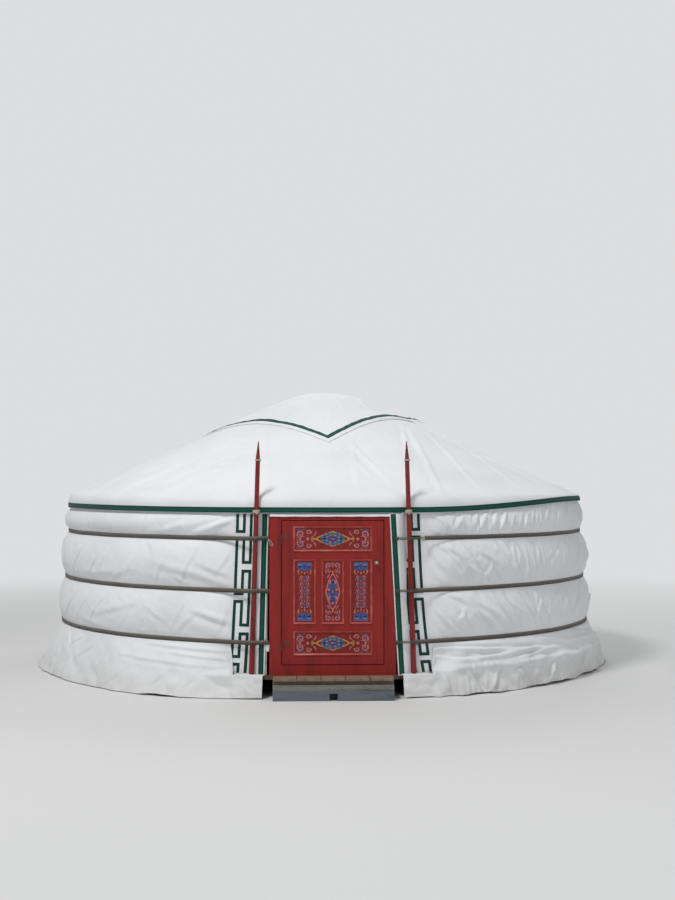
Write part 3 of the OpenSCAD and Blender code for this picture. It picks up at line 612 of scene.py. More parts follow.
def pole_axis(side, z):
    """Middle of a side pole at height z; side is -1 on the left and 1 on the right."""
    t = (z - POLE_FOOT[2]) / (POLE_LEAN[2] - POLE_FOOT[2])
    x = POLE_FOOT[0] + (POLE_LEAN[0] - POLE_FOOT[0]) * t
    y = POLE_FOOT[1] + (POLE_LEAN[1] - POLE_FOOT[1]) * t
    return side * x, y


def seeded_creases(seed, az_from, az_to, count):
    """Creases for the sides and back that the picture doesn't reach, bay by bay."""
    rng = random.Random(seed)
    rows = []
    for _ in range(count):
        low, high = BAY_ENDS[rng.choice((0, 1, 1, 2, 2))]
        az = rng.uniform(az_from, az_to)
        drop = rng.uniform(0.3, 0.9) * (high - low)
        top = rng.uniform(low + drop, high)
        rows.append((az, top, az + rng.uniform(-5, 5), top - drop, rng.uniform(3, 8), rng.uniform(14, 24)))
    return rows


def pulled_creases(seed, rows):
    """Creases in rows along a bay: azimuths of the row, lean in degrees, foot and head, height and count."""
    rng = random.Random(seed)
    made = []
    for az_from, az_to, lean_from, lean_to, foot, head, high, count in rows:
        for i in range(count):
            share = (i + rng.uniform(-0.3, 0.3)) / (count - 1)
            az, lean = az_from + (az_to - az_from) * share, lean_from + (lean_to - lean_from) * share
            low = foot + (head - foot) * rng.choice((0.0, 0.0, 0.1, 0.3)) * rng.random()
            up = head - (head - foot) * rng.choice((0.0, 0.1, 0.3, 0.5)) * rng.random()
            lean = lean * (up - low) / (head - foot) + rng.uniform(-0.7, 0.7)
            made.append((az - lean / 2, low, az + lean / 2, up, high * rng.uniform(0.7, 1.7), rng.uniform(11, 16)))
    return made


WALL_CREASES = [
    *LEFT_CREASES,
    *RIGHT_CREASES,
    *pulled_creases(6, (
        (19, 34, -2.5, 1.5, 1.50, 1.70, 4.4, 8), (36, 76, 2.0, 4.0, 1.50, 1.73, 5.6, 21),
        (21, 40, -9.0, -6.0, 1.03, 1.45, 5.6, 8), (42, 78, -1.0, 2.5, 1.05, 1.45, 5.2, 15),
        (22, 46, -10.0, -6.0, 0.55, 0.96, 6.0, 9), (48, 80, 3.5, 5.5, 0.55, 0.96, 6.0, 15),
        (-62, -22, 9.0, 5.0, 1.05, 1.45, 2.4, 7), (-64, -22, 10.0, 4.0, 0.56, 0.95, 2.6, 7),
    )),
    *seeded_creases(3, 70, 180, 60),
    *seeded_creases(4, -180, -70, 45),
]


def fold_az(az):
    """Azimuths brought to -180..180 degrees."""
    return (np.asarray(az, float) + 180) % 360 - 180


def eave_rise(az):
    """How far the roof's hanging edge is drawn up: towards the right side, and a little on the left."""
    az = fold_az(az)
    return 0.085 * ease((az - 17) / 46) * ease((150 - az) / 60) + 0.010 * ease((-az - 20) / 50) * ease((150 + az) / 60)


def eave_r(z):
    """Radius of the roof canvas round the eave: plumb below, then the round over the pole ends."""
    over = np.clip(z - slope_z(D_OVER - EAVE_ROUND, VALANCE_R - EAVE_ROUND), 0, EAVE_ROUND * 0.9)
    return VALANCE_R - EAVE_ROUND + np.sqrt(EAVE_ROUND**2 - over**2)


def bulge_of(bay, az):
    """How far a bay stands out: fuller on the left than on the right, as pulled by the belts."""
    left, right = ((0.057, 0.048), (0.064, 0.055), (0.050, 0.030))[bay]
    share = 0.5 + 0.5 * np.sin(np.radians(az))
    return left + (right - left) * share


def wall_radius(az, z):
    """Radius of the canvas's outer face at azimuths in degrees and heights in metres."""
    az, z = fold_az(az), np.asarray(z, float)
    r = wall_line(z) + 0 * az
    for zb in BELT_Z:
        r = np.where(abs(z - zb) <= BELT_LAND / 2 + 1e-6, wall_line(zb), r)
    free = np.zeros(np.broadcast(az, z).shape)
    # The bordered strip beside the door is stretched flat
    slack = ease((abs(az) - 17.6) / 5.5)
    for bay, (z0, z1) in enumerate(BAY_ENDS):
        z1 = z1 + (eave_rise(az) if bay == 2 else 0)
        t = (z - z0) / (z1 - z0)
        inside = (t > 0) & (t < 1)
        tc = np.clip(t, 0, 1)
        r0 = wall_line(BELT_Z[bay])
        r1 = wall_line(BELT_Z[bay + 1]) if bay < 2 else wall_line(z1)
        hill = np.sin(math.pi * tc) ** 0.8 * slack
        r = np.where(inside, r0 + (r1 - r0) * tc + bulge_of(bay, az) * hill, r)
        free = np.where(inside, np.minimum(1, 12 * tc * (1 - tc)), free)
    foot = (z < BELT_Z[0] - BELT_LAND / 2) * np.clip((BELT_Z[0] - BELT_LAND / 2 - z) / 0.08, 0, 1)
    free = np.maximum(free, 0.5 * foot)
    s = np.radians(az) * ARC_R
    rng = random.Random(11)
    lie = 0.004 * smooth_noise(rng, s, z, 0.62) + 0.0018 * smooth_noise(rng, s, z, 0.16)
    pucker = np.zeros_like(lie)
    for zb in BELT_Z:
        near = np.exp(-abs(z - zb) / 0.06) * (abs(z - zb) > BELT_LAND / 2)
        pucker = pucker + near * smooth_noise(rng, s, 0 * z, 0.11, 2)
    side = np.clip((az + 20) / 40, 0, 1)
    lie = lie + 0.0035 * (0.45 + 0.55 * side) * pucker
    # Crumpling: sharp ridges that lean with the pull of the belts, denser on the right
    lean = s + 0.45 * (z - 1.1) * np.where(az > 0, -1, 1)
    folded = np.maximum(0, 1 - 2.4 * abs(smooth_noise(rng, lean / 0.42, 0.55 * z / 0.42, 0.62, 3)))
    patchy = ease(0.5 + 1.2 * smooth_noise(rng, s, z, 0.9, 2))
    lie = lie + (0.0035 + 0.001 * side) * folded**1.5 * patchy
    rng = random.Random(12)
    for az0, z0, az1, z1, high, wide in WALL_CREASES:
        if z1 > 1.5 and az0 > 16:
            # Pleats of the upper bay run from the belt to the eave
            z1 = z1 + 0.6 * eave_rise(az1)
        s0, s1 = math.radians(az0) * ARC_R, math.radians(az1) * ARC_R
        share, bow = rng.uniform(1.7, 2.6), rng.uniform(-0.02, 0.02)
        over = rng.uniform(0.0, 0.12) * (z0 - z1)
        lie = lie + crease(s, z, (s0, z0 + over), (s1, z1 - over), share * min(high, 7.5) / 1000,
                           1.3 * wide / 1000, bow)
    flat = np.clip((abs(az) - 18.6) / 1.5, 0.0, 1.0)
    r = r + sizes().creases * lie * free * (0.12 + 0.88 * flat)
    for turn in (-1, 1):
        px, py = pole_axis(turn, z)
        pole_az = np.degrees(np.arctan2(px, -py))
        limit = np.hypot(px, py) - POLE_R - 0.002
        away = np.radians(az - pole_az) * ARC_R
        r = r - np.maximum(r - limit, 0) * np.exp(-((away / 0.075) ** 2)) * (z > 0.21)
    return r


def around(az, r, z):
    """Points from azimuths in degrees, radii and heights."""
    a = np.radians(az)
    return np.stack(np.broadcast_arrays(r * np.sin(a), -r * np.cos(a), z), axis=-1)


def outward_of(points):
    """Directions away from the middle axis at each point."""
    out = points * np.array([1.0, 1.0, 0.0])
    return out / np.maximum(np.linalg.norm(out, axis=2, keepdims=True), 1e-9)


def arc_grid(az_from, az_to, arc_step, low, high, step):
    """Azimuths down one axis and heights along the other, as two grids."""
    count = max(2, int(math.radians(az_to - az_from) * ARC_R / arc_step))
    rows = max(2, int((high - low) / step))
    return np.meshgrid(np.linspace(az_from, az_to, count), np.linspace(low, high, rows), indexing="ij")


WALL_EDGE_AZ = math.degrees(math.asin((EDGE_X + 0.001) / ARC_R))
FLAP_AZ = 14.2


def edge_x(side, z):
    """Plan x of the canvas's free edge: plumb-ish on the left, drawn over the door frame on the right."""
    rise = np.clip((z - FLOOR_Z) / 1.5, 0, 1)
    return 0.640 - 0.036 * rise if side < 0 else 0.614 - 0.080 * rise


def flap_point(side, x, z):
    """The canvas beside the door at plan x: on the wall, and in front of the frame where it covers it."""
    x, z = np.broadcast_arrays(np.asarray(x, float), np.asarray(z, float))
    r = wall_line(z)
    for _ in range(3):
        az = side * np.degrees(np.arcsin(np.clip(x / r, 0, 1)))
        r = wall_radius(az, z)
    y = -np.sqrt(np.maximum(r**2 - x**2, 0))
    if side > 0:
        t = ease((x - 0.603) / 0.105)
        front = FRAME_Y - 0.006 - sizes().canvas
        y = np.minimum(y, front * (1 - t) + y * t)
    return np.stack([side * x, y, z], axis=-1)


QUARTERS = {
    "front_right": (WALL_EDGE_AZ, 90.0),
    "back_right": (90.0, 180.0),
    "back_left": (180.0, 270.0),
    "front_left": (270.0, 360.0 - WALL_EDGE_AZ),
}


def make_walls():
    """Four wall canvases, pinched by the belts and creased, and the strip over the door."""
    for quarter, (az_from, az_to) in QUARTERS.items():
        fine = {"front_right": 0.0135, "front_left": 0.0165}.get(quarter, 0.032)
        az, z = arc_grid(az_from, az_to, fine, FLOOR_Z + 0.001, WALL_TOP_Z, fine)
        z = np.where(z > 1.5, np.minimum(1.5 + (z - 1.5) * (1 + eave_rise(az) / 0.25), 1.846), z)
        if quarter == "front_right":
            # The flap over the door frame ends under the eave band
            past = np.clip((az - WALL_EDGE_AZ) / (FLAP_AZ - WALL_EDGE_AZ) * 4 - 3, 0, 1)
            near_top = 1.714 + (WALL_TOP_Z - 1.714) * past
            z = z[0, 0] + (z - z[0, 0]) * (near_top - z[0, 0]) / (WALL_TOP_Z - z[0, 0])
        r = wall_radius(az, z)
        # Over the top bay the canvas goes up behind the roof's hanging edge
        r = np.where(z > 1.69 + eave_rise(az), np.minimum(r, wall_line(z) + 0.012), r)
        points = around(az, r, z)
        if quarter.startswith("front"):
            side = 1 if quarter.endswith("right") else -1
            near = abs(fold_az(az)) < FLAP_AZ
            share = (abs(fold_az(az)) - WALL_EDGE_AZ) / (FLAP_AZ - WALL_EDGE_AZ)
            inner_x = wall_radius(side * FLAP_AZ, z) * math.sin(math.radians(FLAP_AZ))
            x = edge_x(side, z) + (inner_x - edge_x(side, z)) * share
            points = np.where(near[..., None], flap_point(side, x, z), points)
        uvs = np.stack([np.radians(az) * ARC_R, z], axis=-1)
        obj = shell(f"wall_canvas_{quarter}", points, uvs, sizes().canvas, finish("canvas"), outward_of(points))
        keep_on(obj, HOUSE, "canvas", f"wall_{quarter}")
    # Over the door the canvas lies on the frame's top and is turned down over its face
    across = np.linspace(-0.592, 0.592, 60)[:, None]
    face, top = FRAME_Y - 0.0055 - sizes().canvas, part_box("door_lintel")[1][2]
    back = -np.sqrt(wall_line(1.75) ** 2 - across**2)
    shares = np.array([(0, 1.78), (0, 1.745), (0, 1.722), (0.02, top + 0.008), (0.35, top + 0.0055),
                       (0.85, top + 0.0055), (0.97, top + 0.0045), (1, top + 0.0005), (1, top - 0.007),
                       (1, top - 0.0135)])
    y = back + (face - back) * shares[None, :, 0]
    z = shares[None, :, 1] + 0.0012 * np.sin(across * 31) * (shares[None, :, 0] > 0.99)
    points = np.stack(np.broadcast_arrays(across, y, z), axis=-1)
    uvs = np.stack(np.broadcast_arrays(across, z - y), axis=-1)
    ahead = np.zeros_like(points) + np.array([0, -1.0, 0.6])
    obj = shell("wall_canvas_over_door", points, uvs, sizes().canvas, finish("canvas"), ahead)
    keep_on(obj, HOUSE, "canvas", "wall_over_door")


def skirt_top(az):
    """Height of the skirt's upper edge: under the lowest belt, but on the floor's edge beside the door."""
    return 0.2145 + (0.4885 - 0.2145) * ease((abs(az) - 17.9) / 1.1)


def rim_share(az):
    """Where the skirt lies slack over the floor's rim and falls from there, on the right of the door."""
    return ease((az - 13.0) / 7.0) * ease((86.0 - az) / 16.0)


# Folds of the skirt: start and end as azimuth and share of the drop, then height and width in mm
SKIRT_FOLDS = (
    (19, 0.14, 33, 0.24, 16, 15), (21, 0.40, 42, 0.27, 16, 17), (28, 0.20, 50, 0.33, 17, 15),
    (44, 0.10, 61, 0.36, 18, 15), (52, 0.22, 72, 0.30, 16, 16), (18, 0.27, 27, 0.42, 11, 13),
    (60, 0.10, 80, 0.42, 16, 18), (34, 0.42, 47, 0.32, 14, 13), (70, 0.22, 84, 0.78, 18, 18),
    (25, 0.62, 27, 0.95, 16, 15), (31, 0.60, 29, 0.98, 14, 13), (36, 0.58, 39, 0.92, 18, 15),
    (47, 0.60, 44, 0.98, 22, 17), (53, 0.62, 56, 0.95, 18, 17), (61, 0.56, 58, 0.92, 16, 15),
    (66, 0.55, 70, 0.95, 18, 19), (78, 0.40, 74, 0.92, 16, 19), (20, 0.60, 21, 0.95, 12, 13),
    (-19, 0.15, -37, 0.07, 9, 14), (-19, 0.31, -31, 0.22, 8, 12), (-20, 0.46, -43, 0.31, 9, 16),
    (-52, 0.20, -58, 0.60, 10, 20), (-40, 0.55, -44, 0.90, 8, 18), (-66, 0.10, -62, 0.50, 11, 18),
    (-58, 0.12, -62, 0.30, 10, 14), (-30, 0.50, -33, 0.85, 7, 18), (-72, 0.30, -76, 0.80, 10, 20),
    (-24, 0.45, -27, 0.90, 7, 18), (-48, 0.35, -50, 0.80, 7, 18), (-84, 0.20, -80, 0.75, 10, 20),
)

# The hem as it lies: azimuth, radius and height
HEM_AZ = (-180, -120, -90, -76, -63, -54, -45, -37, -28, -22, -17, -13,
          13, 18, 26, 32, 40, 49, 58, 68, 79, 88, 100, 150, 180)
HEM_OUT = (3.205, 3.215, 3.205, 3.21, 3.18, 3.19, 3.21, 3.24, 3.22, 3.185, 3.12, 3.09,
           3.08, 3.095, 3.115, 3.10, 3.085, 3.08, 3.085, 3.11, 3.15, 3.22, 3.21, 3.215, 3.205)
HEM_UP = (0, 0, 0, 0, 0.003, 0, 0.001, 0, 0.002, 0, 0, 0.003,
          0.004, 0.001, 0.002, 0.004, 0.009, 0.012, 0.008, 0.003, 0.001, 0, 0, 0, 0)


def skirt_points(az, t):
    """The skirt's outer face: t runs from its upper edge at 0 to the hem at 1."""
    az = fold_az(az)
    s = np.radians(az) * ARC_R
    rng = random.Random(23)
    wave = smooth_noise(rng, s, 0 * s, 0.75, 3)
    ripple = smooth_noise(rng, s, 0.35 * t, 0.19, 2)
    small = smooth_noise(rng, s, 0.5 * t, 0.30, 3)
    drape = smooth_noise(rng, s, 0.12 * t, 0.26, 3)
    top = skirt_top(az)
    beside = np.clip((19.0 - abs(az)) / 1.6, 0, 1)
    slack = rim_share(az)
    hem = np.interp(az, HEM_AZ, HEM_OUT) + 0.010 * wave
    lift = np.interp(az, HEM_AZ, HEM_UP) + 0.003
    lift = lift + np.clip(1.3 * smooth_noise(rng, s, 0 * s, 0.9, 2) - 0.55, 0, 1) * 0.016 * (1 - beside)
    near = wall_line(top) + 0.0045 + sizes().canvas
    # Taut flare from the belt to the ground; beside the border it hugs the wall down to the floor
    hug = ease(1 - (abs(az) - 18) / 8)
    z = top + (0.004 + lift - top) * t
    r = near + (hem - near) * t ** (1.12 + 2.0 * hug)
    # Slack over the rim of the floor, where it lies in a ridge, and down from there in drapes
    rim_t, rim_r, rim_z = 0.50, DECK_R + 0.024, FLOOR_Z + 0.044
    q = np.clip(t / rim_t, 0, 1)
    fall = np.clip((t - rim_t) / (1 - rim_t), 0, 1)
    slack_r = near + (rim_r - near) * q ** (0.75 + 5.0 * ease(1 - (az - 18) / 7)) + (hem - rim_r) * fall**0.8
    slack_z = top + (rim_z + 0.012 * wave - top) * q**1.25 + (0.004 + lift - rim_z) * fall
    ridge = 0.040 * (0.75 + 0.6 * drape) * ease((az - 19) / 9) * np.exp(-(((t - rim_t + 0.02) / 0.055) ** 2))
    slack_r = slack_r + 0.034 * drape * np.clip(fall * 2.2, 0, 1) + ridge
    slack_z = slack_z + 0.4 * ridge
    r = r * (1 - slack) + slack_r * slack
    z = z * (1 - slack) + slack_z * slack
    # Beside the door it hangs over the floor's edge
    q = np.clip(t / 0.28, 0, 1)
    fall = np.clip((t - 0.28) / 0.72, 0, 1)
    edge_r = near + (DECK_R + 0.012 - near) * q**0.8 + (hem - DECK_R - 0.012) * fall**1.25
    edge_z = top + 0.002 + (0.004 + lift - top) * fall
    r = r * (1 - beside) + edge_r * beside
    z = z * (1 - beside) + edge_z * beside
    for az0, t0, az1, t1, high, wide in SKIRT_FOLDS:
        ends = (math.radians(az0) * ARC_R, t0 * 0.5), (math.radians(az1) * ARC_R, t1 * 0.5)
        lie = crease(s, t * 0.5, *ends, (1.4 + 0.8 * (t0 > 0.5) if az0 > 0 else 1.0) * high / 1000,
                     wide / 850) * (1 - beside)
        r, z = r + lie, z + 0.4 * lie
    held = np.sin(math.pi * np.clip(t, 0, 1) * 0.62) * (1 - 0.6 * beside)
    r = r + 0.010 * ripple * held + 0.005 * small * np.sin(math.pi * t)
    # It lies on the edge of the floor where that is under it
    r = np.maximum(r, DECK_R + 0.015 - 1.5 * np.maximum(z - FLOOR_Z - 0.006, 0) - 2.0 * (beside > 0.97) * (z > 0.19))
    return around(az, r, np.maximum(z, 0.0055))


def make_skirts():
    """Skirt canvas round the foot of the wall: flared, rippled, with a bunched ridge on the right."""
    start = math.degrees(math.asin(0.655 / 3.06))
    ends = {"front_right": (start, 90.0), "back_right": (90.0, 180.0), "back_left": (180.0, 270.0),
            "front_left": (270.0, 360.0 - start)}
    for quarter, (az_from, az_to) in ends.items():
        fine = 0.013 if quarter.startswith("front") else 0.030
        count = int(math.radians(az_to - az_from) * SKIRT_ARC_R / fine)
        az, t = np.meshgrid(np.linspace(az_from, az_to, count), np.linspace(0, 1, 46), indexing="ij")
        points = skirt_points(az, t)
        uvs = np.stack([np.radians(az) * SKIRT_ARC_R, 0.53 * t], axis=-1)
        tilt = outward_of(points) + np.array([0, 0, 0.4])
        obj = shell(f"skirt_canvas_{quarter}", points, uvs, sizes().canvas, finish("canvas"), tilt)
        stands_for = [f"skirt_{quarter}"] + (["skirt_beside_door"] if quarter == "front_left" else [])
        keep_on(obj, HOUSE, "canvas", *stands_for)


ROOF_KINDS = (("front_right", 0.0), ("back_right", 90.0), ("back_left", 180.0), ("front_left", 270.0))


def roof_line():
    """Radius, height and run along the roof canvas, from the crown opening over the eave to its hem."""
    arc = [(math.radians(90) - PITCH) * i / 8 for i in range(9)]
    line = [(ROOF_HOLE_R + (VALANCE_R - EAVE_ROUND - ROOF_HOLE_R) * i / 90) for i in range(90)]
    line = [(r, slope_z(D_OVER, r)) for r in line if r < VALANCE_R - EAVE_ROUND * 0.5]
    bend = [(VALANCE_R - EAVE_ROUND + EAVE_ROUND * math.cos(a),
             slope_z(D_OVER - EAVE_ROUND, VALANCE_R - EAVE_ROUND) + EAVE_ROUND * math.sin(a)) for a in arc[::-1]]
    line = [p for p in line if p[0] < bend[0][0] - 0.004] + bend
    low = line[-1][1]
    line += [(VALANCE_R, low + (VALANCE_Z - low) * i / 5) for i in range(1, 6)]
    line = np.array(line)
    run = np.concatenate([[0], np.cumsum(np.hypot(*np.diff(line, axis=0).T))])
    return line[:, 0], line[:, 1], run


# Long creases of the roof canvas: plan x and y of both ends, then height and width in mm
ROOF_CREASES = (
    (-2.48, -1.11, -1.61, -1.38, 9, 34), (-2.21, -1.82, -1.29, -1.42, 10, 34), (-1.95, -2.14, -0.97, -1.57, 10, 34),
    (-1.66, -2.25, -0.9, -1.74, 9, 30), (-1.37, -2.16, -0.84, -1.46, 8, 30), (-2.67, -0.92, -1.93, -1.35, 8, 34),
    (-0.62, -1.08, -0.56, -2.8, 5, 30), (-0.76, -1.05, -1.06, -1.51, 6, 30), (-1.47, -2.41, -0.94, -2.2, 6, 30),
    (0.89, -0.88, 1.06, -2.6, 12, 30), (0.84, -0.75, 0.8, -2.17, 7, 26), (0.17, -1.5, 0.59, -2.54, 8, 30),
    (0.03, -1.59, 0.39, -2.38, 6, 26), (1.08, -0.64, 1.48, -2.3, 6, 32), (1.48, -0.71, 1.97, -1.9, 6, 32),
    (0.25, -1.34, 0.24, -2.75, 5, 30), (1.22, -0.41, 2.41, -1.35, 6, 34), (1.6, 0.3, 2.4, 0.7, 9, 34),
    (1.2, 0.9, 2.0, 1.6, 9, 32), (0.6, 1.2, 0.9, 2.5, 8, 32), (-0.2, 1.4, -0.3, 2.6, 8, 32),
    (-0.9, 1.2, -1.6, 2.1, 9, 32), (-1.4, 0.8, -2.4, 1.1, 9, 34), (-1.5, 0.1, -2.6, -0.1, 9, 34),
)


def make_roofs():
    """Roof canvas over the poles, round the eave and down to its hem, with long pulled creases."""
    radius, height, run = roof_line()
    normal_r, normal_z = -np.gradient(height), np.gradient(radius)
    length = np.hypot(normal_r, normal_z)
    normal_r, normal_z = normal_r / length, normal_z / length
    for kind, az_from in ROOF_KINDS:
        fine = 0.021 if kind.startswith("front") else 0.036
        count = int(math.pi / 2 * VALANCE_R / fine)
        az = np.linspace(az_from, az_from + 90.0, count)[:, None]
        # Where the hanging edge is drawn up, the rows of the mesh end sooner along the same line
        p = run[None, :] - eave_rise(az) * np.clip((run - run[-1]) / 0.25 + 1, 0, 1)[None, :]
        far, high, nx, nz = (np.interp(p, run, values) for values in (radius, height, normal_r, normal_z))
        rng = random.Random(31)
        x, y = far * np.sin(np.radians(az)), far * np.cos(np.radians(az))
        lie = 0.0035 * smooth_noise(rng, x, y, 1.1) + 0.0012 * smooth_noise(rng, x, y, 0.24)
        for x0, y0, x1, y1, tall, wide in ROOF_CREASES:
            lie = lie + crease(x, -y, (x0, y0), (x1, y1), 2.2 * tall / 1000, 0.95 * wide / 1000)
        # A pole under the cloth every 7 degrees, with a slight sag between
        sag = 0.5 - 0.5 * np.cos(np.radians(fold_az(az)) * 360 / 7.0)
        lie = lie - 0.005 * sag * np.clip(p / 1.2, 0, 1) * (p < run[-12])
        lie = np.where(lie < 0, -0.0085 * np.tanh(-lie / 0.0085), lie)
        clear = np.clip(outside_cover(x, -y) / 0.08, 0, 1)
        down = run[-1] - run[None, :]
        keep = np.clip((down - 0.08) / 0.14, 0, 1)
        lie = np.where(lie > 0, lie * clear, lie * (0.3 + 0.7 * clear)) * keep
        r, z = far + lie * nx, high + lie * nz
        points = around(az, r, z)
        uvs = np.stack([np.radians(az) * far, p], axis=-1)
        up = outward_of(points) * 0.4 + np.array([0, 0, 1.0]) * (p[..., None] < run[-6]) + outward_of(points) * 0.2
        obj = shell(f"roof_canvas_{kind}", points, uvs, sizes().canvas, finish("canvas"), up)
        keep_on(obj, HOUSE, "canvas", f"roof_{kind}")


def make_linings():
    """Felt behind the wall canvas and under the roof canvas, which shows between slats and poles."""
    az, z = arc_grid(WALL_EDGE_AZ + 0.3, 360 - WALL_EDGE_AZ - 0.3, 0.09, 0.206, 1.775, 0.09)
    r = wall_line(z) - COVER_T + 0.012 + 0.003 * smooth_noise(random.Random(5), np.radians(az) * ARC_R, z, 0.5)
    points = around(az, r, z)
    uvs = np.stack([np.radians(az) * ARC_R, z], axis=-1)
    obj = keep_on(shell("wall_felt", points, uvs, 0.010, finish("felt"), outward_of(points)), HOUSE, "canvas")
    radius = np.linspace(ROOF_HOLE_R + 0.004, VALANCE_R - 0.06, 24)[None, :]
    az = np.linspace(0.0, 360.0, 181)[:, None]
    points = around(az, radius + 0 * az, slope_z(D_UNDER + 0.010, radius) + 0 * az)
    uvs = np.stack([np.radians(az) * radius, radius + 0 * az], axis=-1)
    obj = shell("roof_felt", points, uvs, 0.010, finish("felt"), outward_of(points) * 0.3 + np.array([0, 0, 1.0]))
    keep_on(obj, HOUSE, "canvas")


# ---- crown cover


def crown_height(x, y):
    """Height of the crown cover's upper face: a dome over the crown ring, then the slope of the roof."""
    r = np.hypot(x, y)
    round_top = DOME_Z + np.sqrt(np.maximum(DOME_R**2 - r**2, 0))
    return np.where(r < DOME_R * math.sin(PITCH), round_top, slope_z(D_CROWN, r))


# Plan corners of the crown cover as it lies, pulled towards the door and to the left: front, left, back, right
COVER_CORNERS = ((0.0, -1.64), (-1.42, -0.15), (0.0, 1.24), (1.15, -0.12))


def outside_cover(x, y):
    """Distance from the crown cover's outline in plan; below 0 inside it."""
    best = np.full(np.broadcast(x, y).shape, -9.0)
    for (x0, y0), (x1, y1) in zip(COVER_CORNERS, COVER_CORNERS[1:] + COVER_CORNERS[:1]):
        length = math.hypot(x1 - x0, y1 - y0)
        best = np.maximum(best, ((y - y0) * (x1 - x0) - (x - x0) * (y1 - y0)) / length)
    return best


def crown_surface(u, v):
    """Crown cover over its own sides u and v: wrinkled, hem down on the roof, right corner lifted."""
    u, v = np.asarray(u, float), np.asarray(v, float)
    half = CROWN_SIDE / 2
    a, b = (u / half + 1) / 2, (v / half + 1) / 2
    front, left, back, right = COVER_CORNERS
    x, y = (back[i] * (1 - a) * (1 - b) + right[i] * a * (1 - b) + left[i] * (1 - a) * b + front[i] * a * b
            for i in (0, 1))
    r = np.hypot(x, y)
    rng = random.Random(41)
    rib = np.cos(np.arctan2(x, -y) * 8) * np.clip(r / 0.5, 0, 1) * np.clip((0.85 - r) / 0.2, 0, 1)
    lie = 0.006 * smooth_noise(rng, x, y, 0.55) + 0.003 * smooth_noise(rng, x, y, 0.14, 2) + 0.004 * rib
    for s0, z0, s1, z1, high, wide in CROWN_CREASES:
        lie = lie + crease(x, y, (s0, z0), (s1, z1), 1.3 * high / 1000, wide / 1000)
    edge = half - np.maximum(abs(u), abs(v))
    lie = lie * np.clip(edge / 0.10, 0.12, 1)
    hem = np.clip((0.05 - edge) / 0.05, 0, 1)
    away = np.hypot(x - right[0], y - right[1])
    lifted = 0.045 * np.exp(-((away / 0.22) ** 2))
    # The hem comes down to the roof canvas, which lies 12.5 mm under the cover's smooth face
    z = crown_height(x, y) + np.maximum(lie, -0.007) - 0.0065 * hem * hem + lifted
    return np.stack([x, y, z], axis=-1)


CROWN_CREASES = (
    (-0.55, -0.35, -0.20, -0.62, 9, 30), (-0.30, -0.28, 0.02, -0.80, 8, 26), (0.10, -0.30, 0.18, -0.78, 8, 26),
    (0.35, -0.28, 0.50, -0.60, 9, 26), (0.55, -0.15, 0.95, -0.20, 8, 28), (-0.75, -0.05, -1.05, -0.10, 7, 28),
    (0.05, -0.85, 0.0, -1.15, 6, 22), (-0.45, 0.2, -0.9, 0.25, 8, 30), (0.2, 0.3, 0.45, 0.75, 9, 30),
    (-0.1, 0.3, -0.25, 0.85, 8, 30), (0.6, 0.15, 0.9, 0.2, 7, 26),
)


def laid_ribbon(name, path, width, on_surface, height, thick, material, closed=False, step=0.02, across=2):
    """A flat ribbon with mitred corners along a path in a surface's own coordinates."""
    path = np.asarray(path, float)
    runs = np.diff(np.vstack([path, path[:1]]) if closed else path, axis=0)
    lengths = np.linalg.norm(runs, axis=1)
    ways = runs / lengths[:, None]
    sides = np.stack([-ways[:, 1], ways[:, 0]], axis=1)
    before = np.vstack([sides[-1:] if closed else sides[:1], sides])
    after = np.vstack([sides, sides[:1] if closed else sides[-1:]])
    mitre = (before + after) / (1 + np.sum(before * after, axis=1))[:, None]
    corners = np.vstack([path, path[:1]]) if closed else path
    rows, offsets, run_at = [], [], []
    total = 0.0
    for i, length in enumerate(lengths):
        count = max(1, int(math.ceil(length / step)))
        last = i == len(lengths) - 1
        for k in range(count + (1 if last else 0)):
            t = k / count
            rows.append(corners[i] + (corners[i + 1] - corners[i]) * t)
            offsets.append(mitre[i] + (mitre[i + 1] - mitre[i]) * t)
            run_at.append(total + length * t)
        total += length
    rows, offsets = np.array(rows), np.array(offsets)
    share = np.linspace(-0.5, 0.5, across + 1)
    flat = rows[:, None, :] + offsets[:, None, :] * share[None, :, None] * width
    nudge = 0.002
    a, b = flat[..., 0], flat[..., 1]
    middle = on_surface(a, b)
    da, db = on_surface(a + nudge, b) - middle, on_surface(a, b + nudge) - middle
    normal = np.cross(da, db)
    normal /= np.maximum(np.linalg.norm(normal, axis=2, keepdims=True), 1e-12)
    up = middle * np.array([1.0, 1.0, 0.0]) + np.array([0, 0, 1.0])
    normal = np.where((normal * up).sum(axis=2, keepdims=True) < 0, -normal, normal)
    points = middle + normal * height
    uvs = np.stack(np.broadcast_arrays(np.array(run_at)[:, None], share[None, :] + 0.5), axis=-1)
    return shell(name, points, uvs, thick, material, normal)


def make_crown():
    """Square crown cover, draped over the dome with its hem on the roof, and its green tape."""
    side = np.linspace(-CROWN_SIDE / 2, CROWN_SIDE / 2, 120)
    u, v = np.meshgrid(side, side, indexing="ij")
    points = crown_surface(u, v)
    obj = shell("crown_canvas", points, np.stack([u, v], axis=-1), sizes().canvas, finish("canvas"),
                np.broadcast_to(np.array([0, 0, 1.0]), points.shape))
    keep_on(obj, HOUSE, "canvas", "crown_cover")
    inset = CROWN_SIDE / 2 - 0.045 - 0.025
    square = [(inset, inset), (-inset, inset), (-inset, -inset), (inset, -inset)]
    tape = laid_ribbon("crown_tape_band", square, sizes().crown_tape, crown_surface, 0.0016, 0.0014,
                       finish("green_tape"), closed=True, across=4)
    keep_on(tape, HOUSE, "green_trim", "crown_tape")


# ---- tapes, belts and border


def eave_surface(s, z):
    """Outer face of the roof canvas's hanging edge."""
    az = np.degrees(s / VALANCE_R)
    return around(az, eave_r(z) + 0.0004 + 0 * az, z)


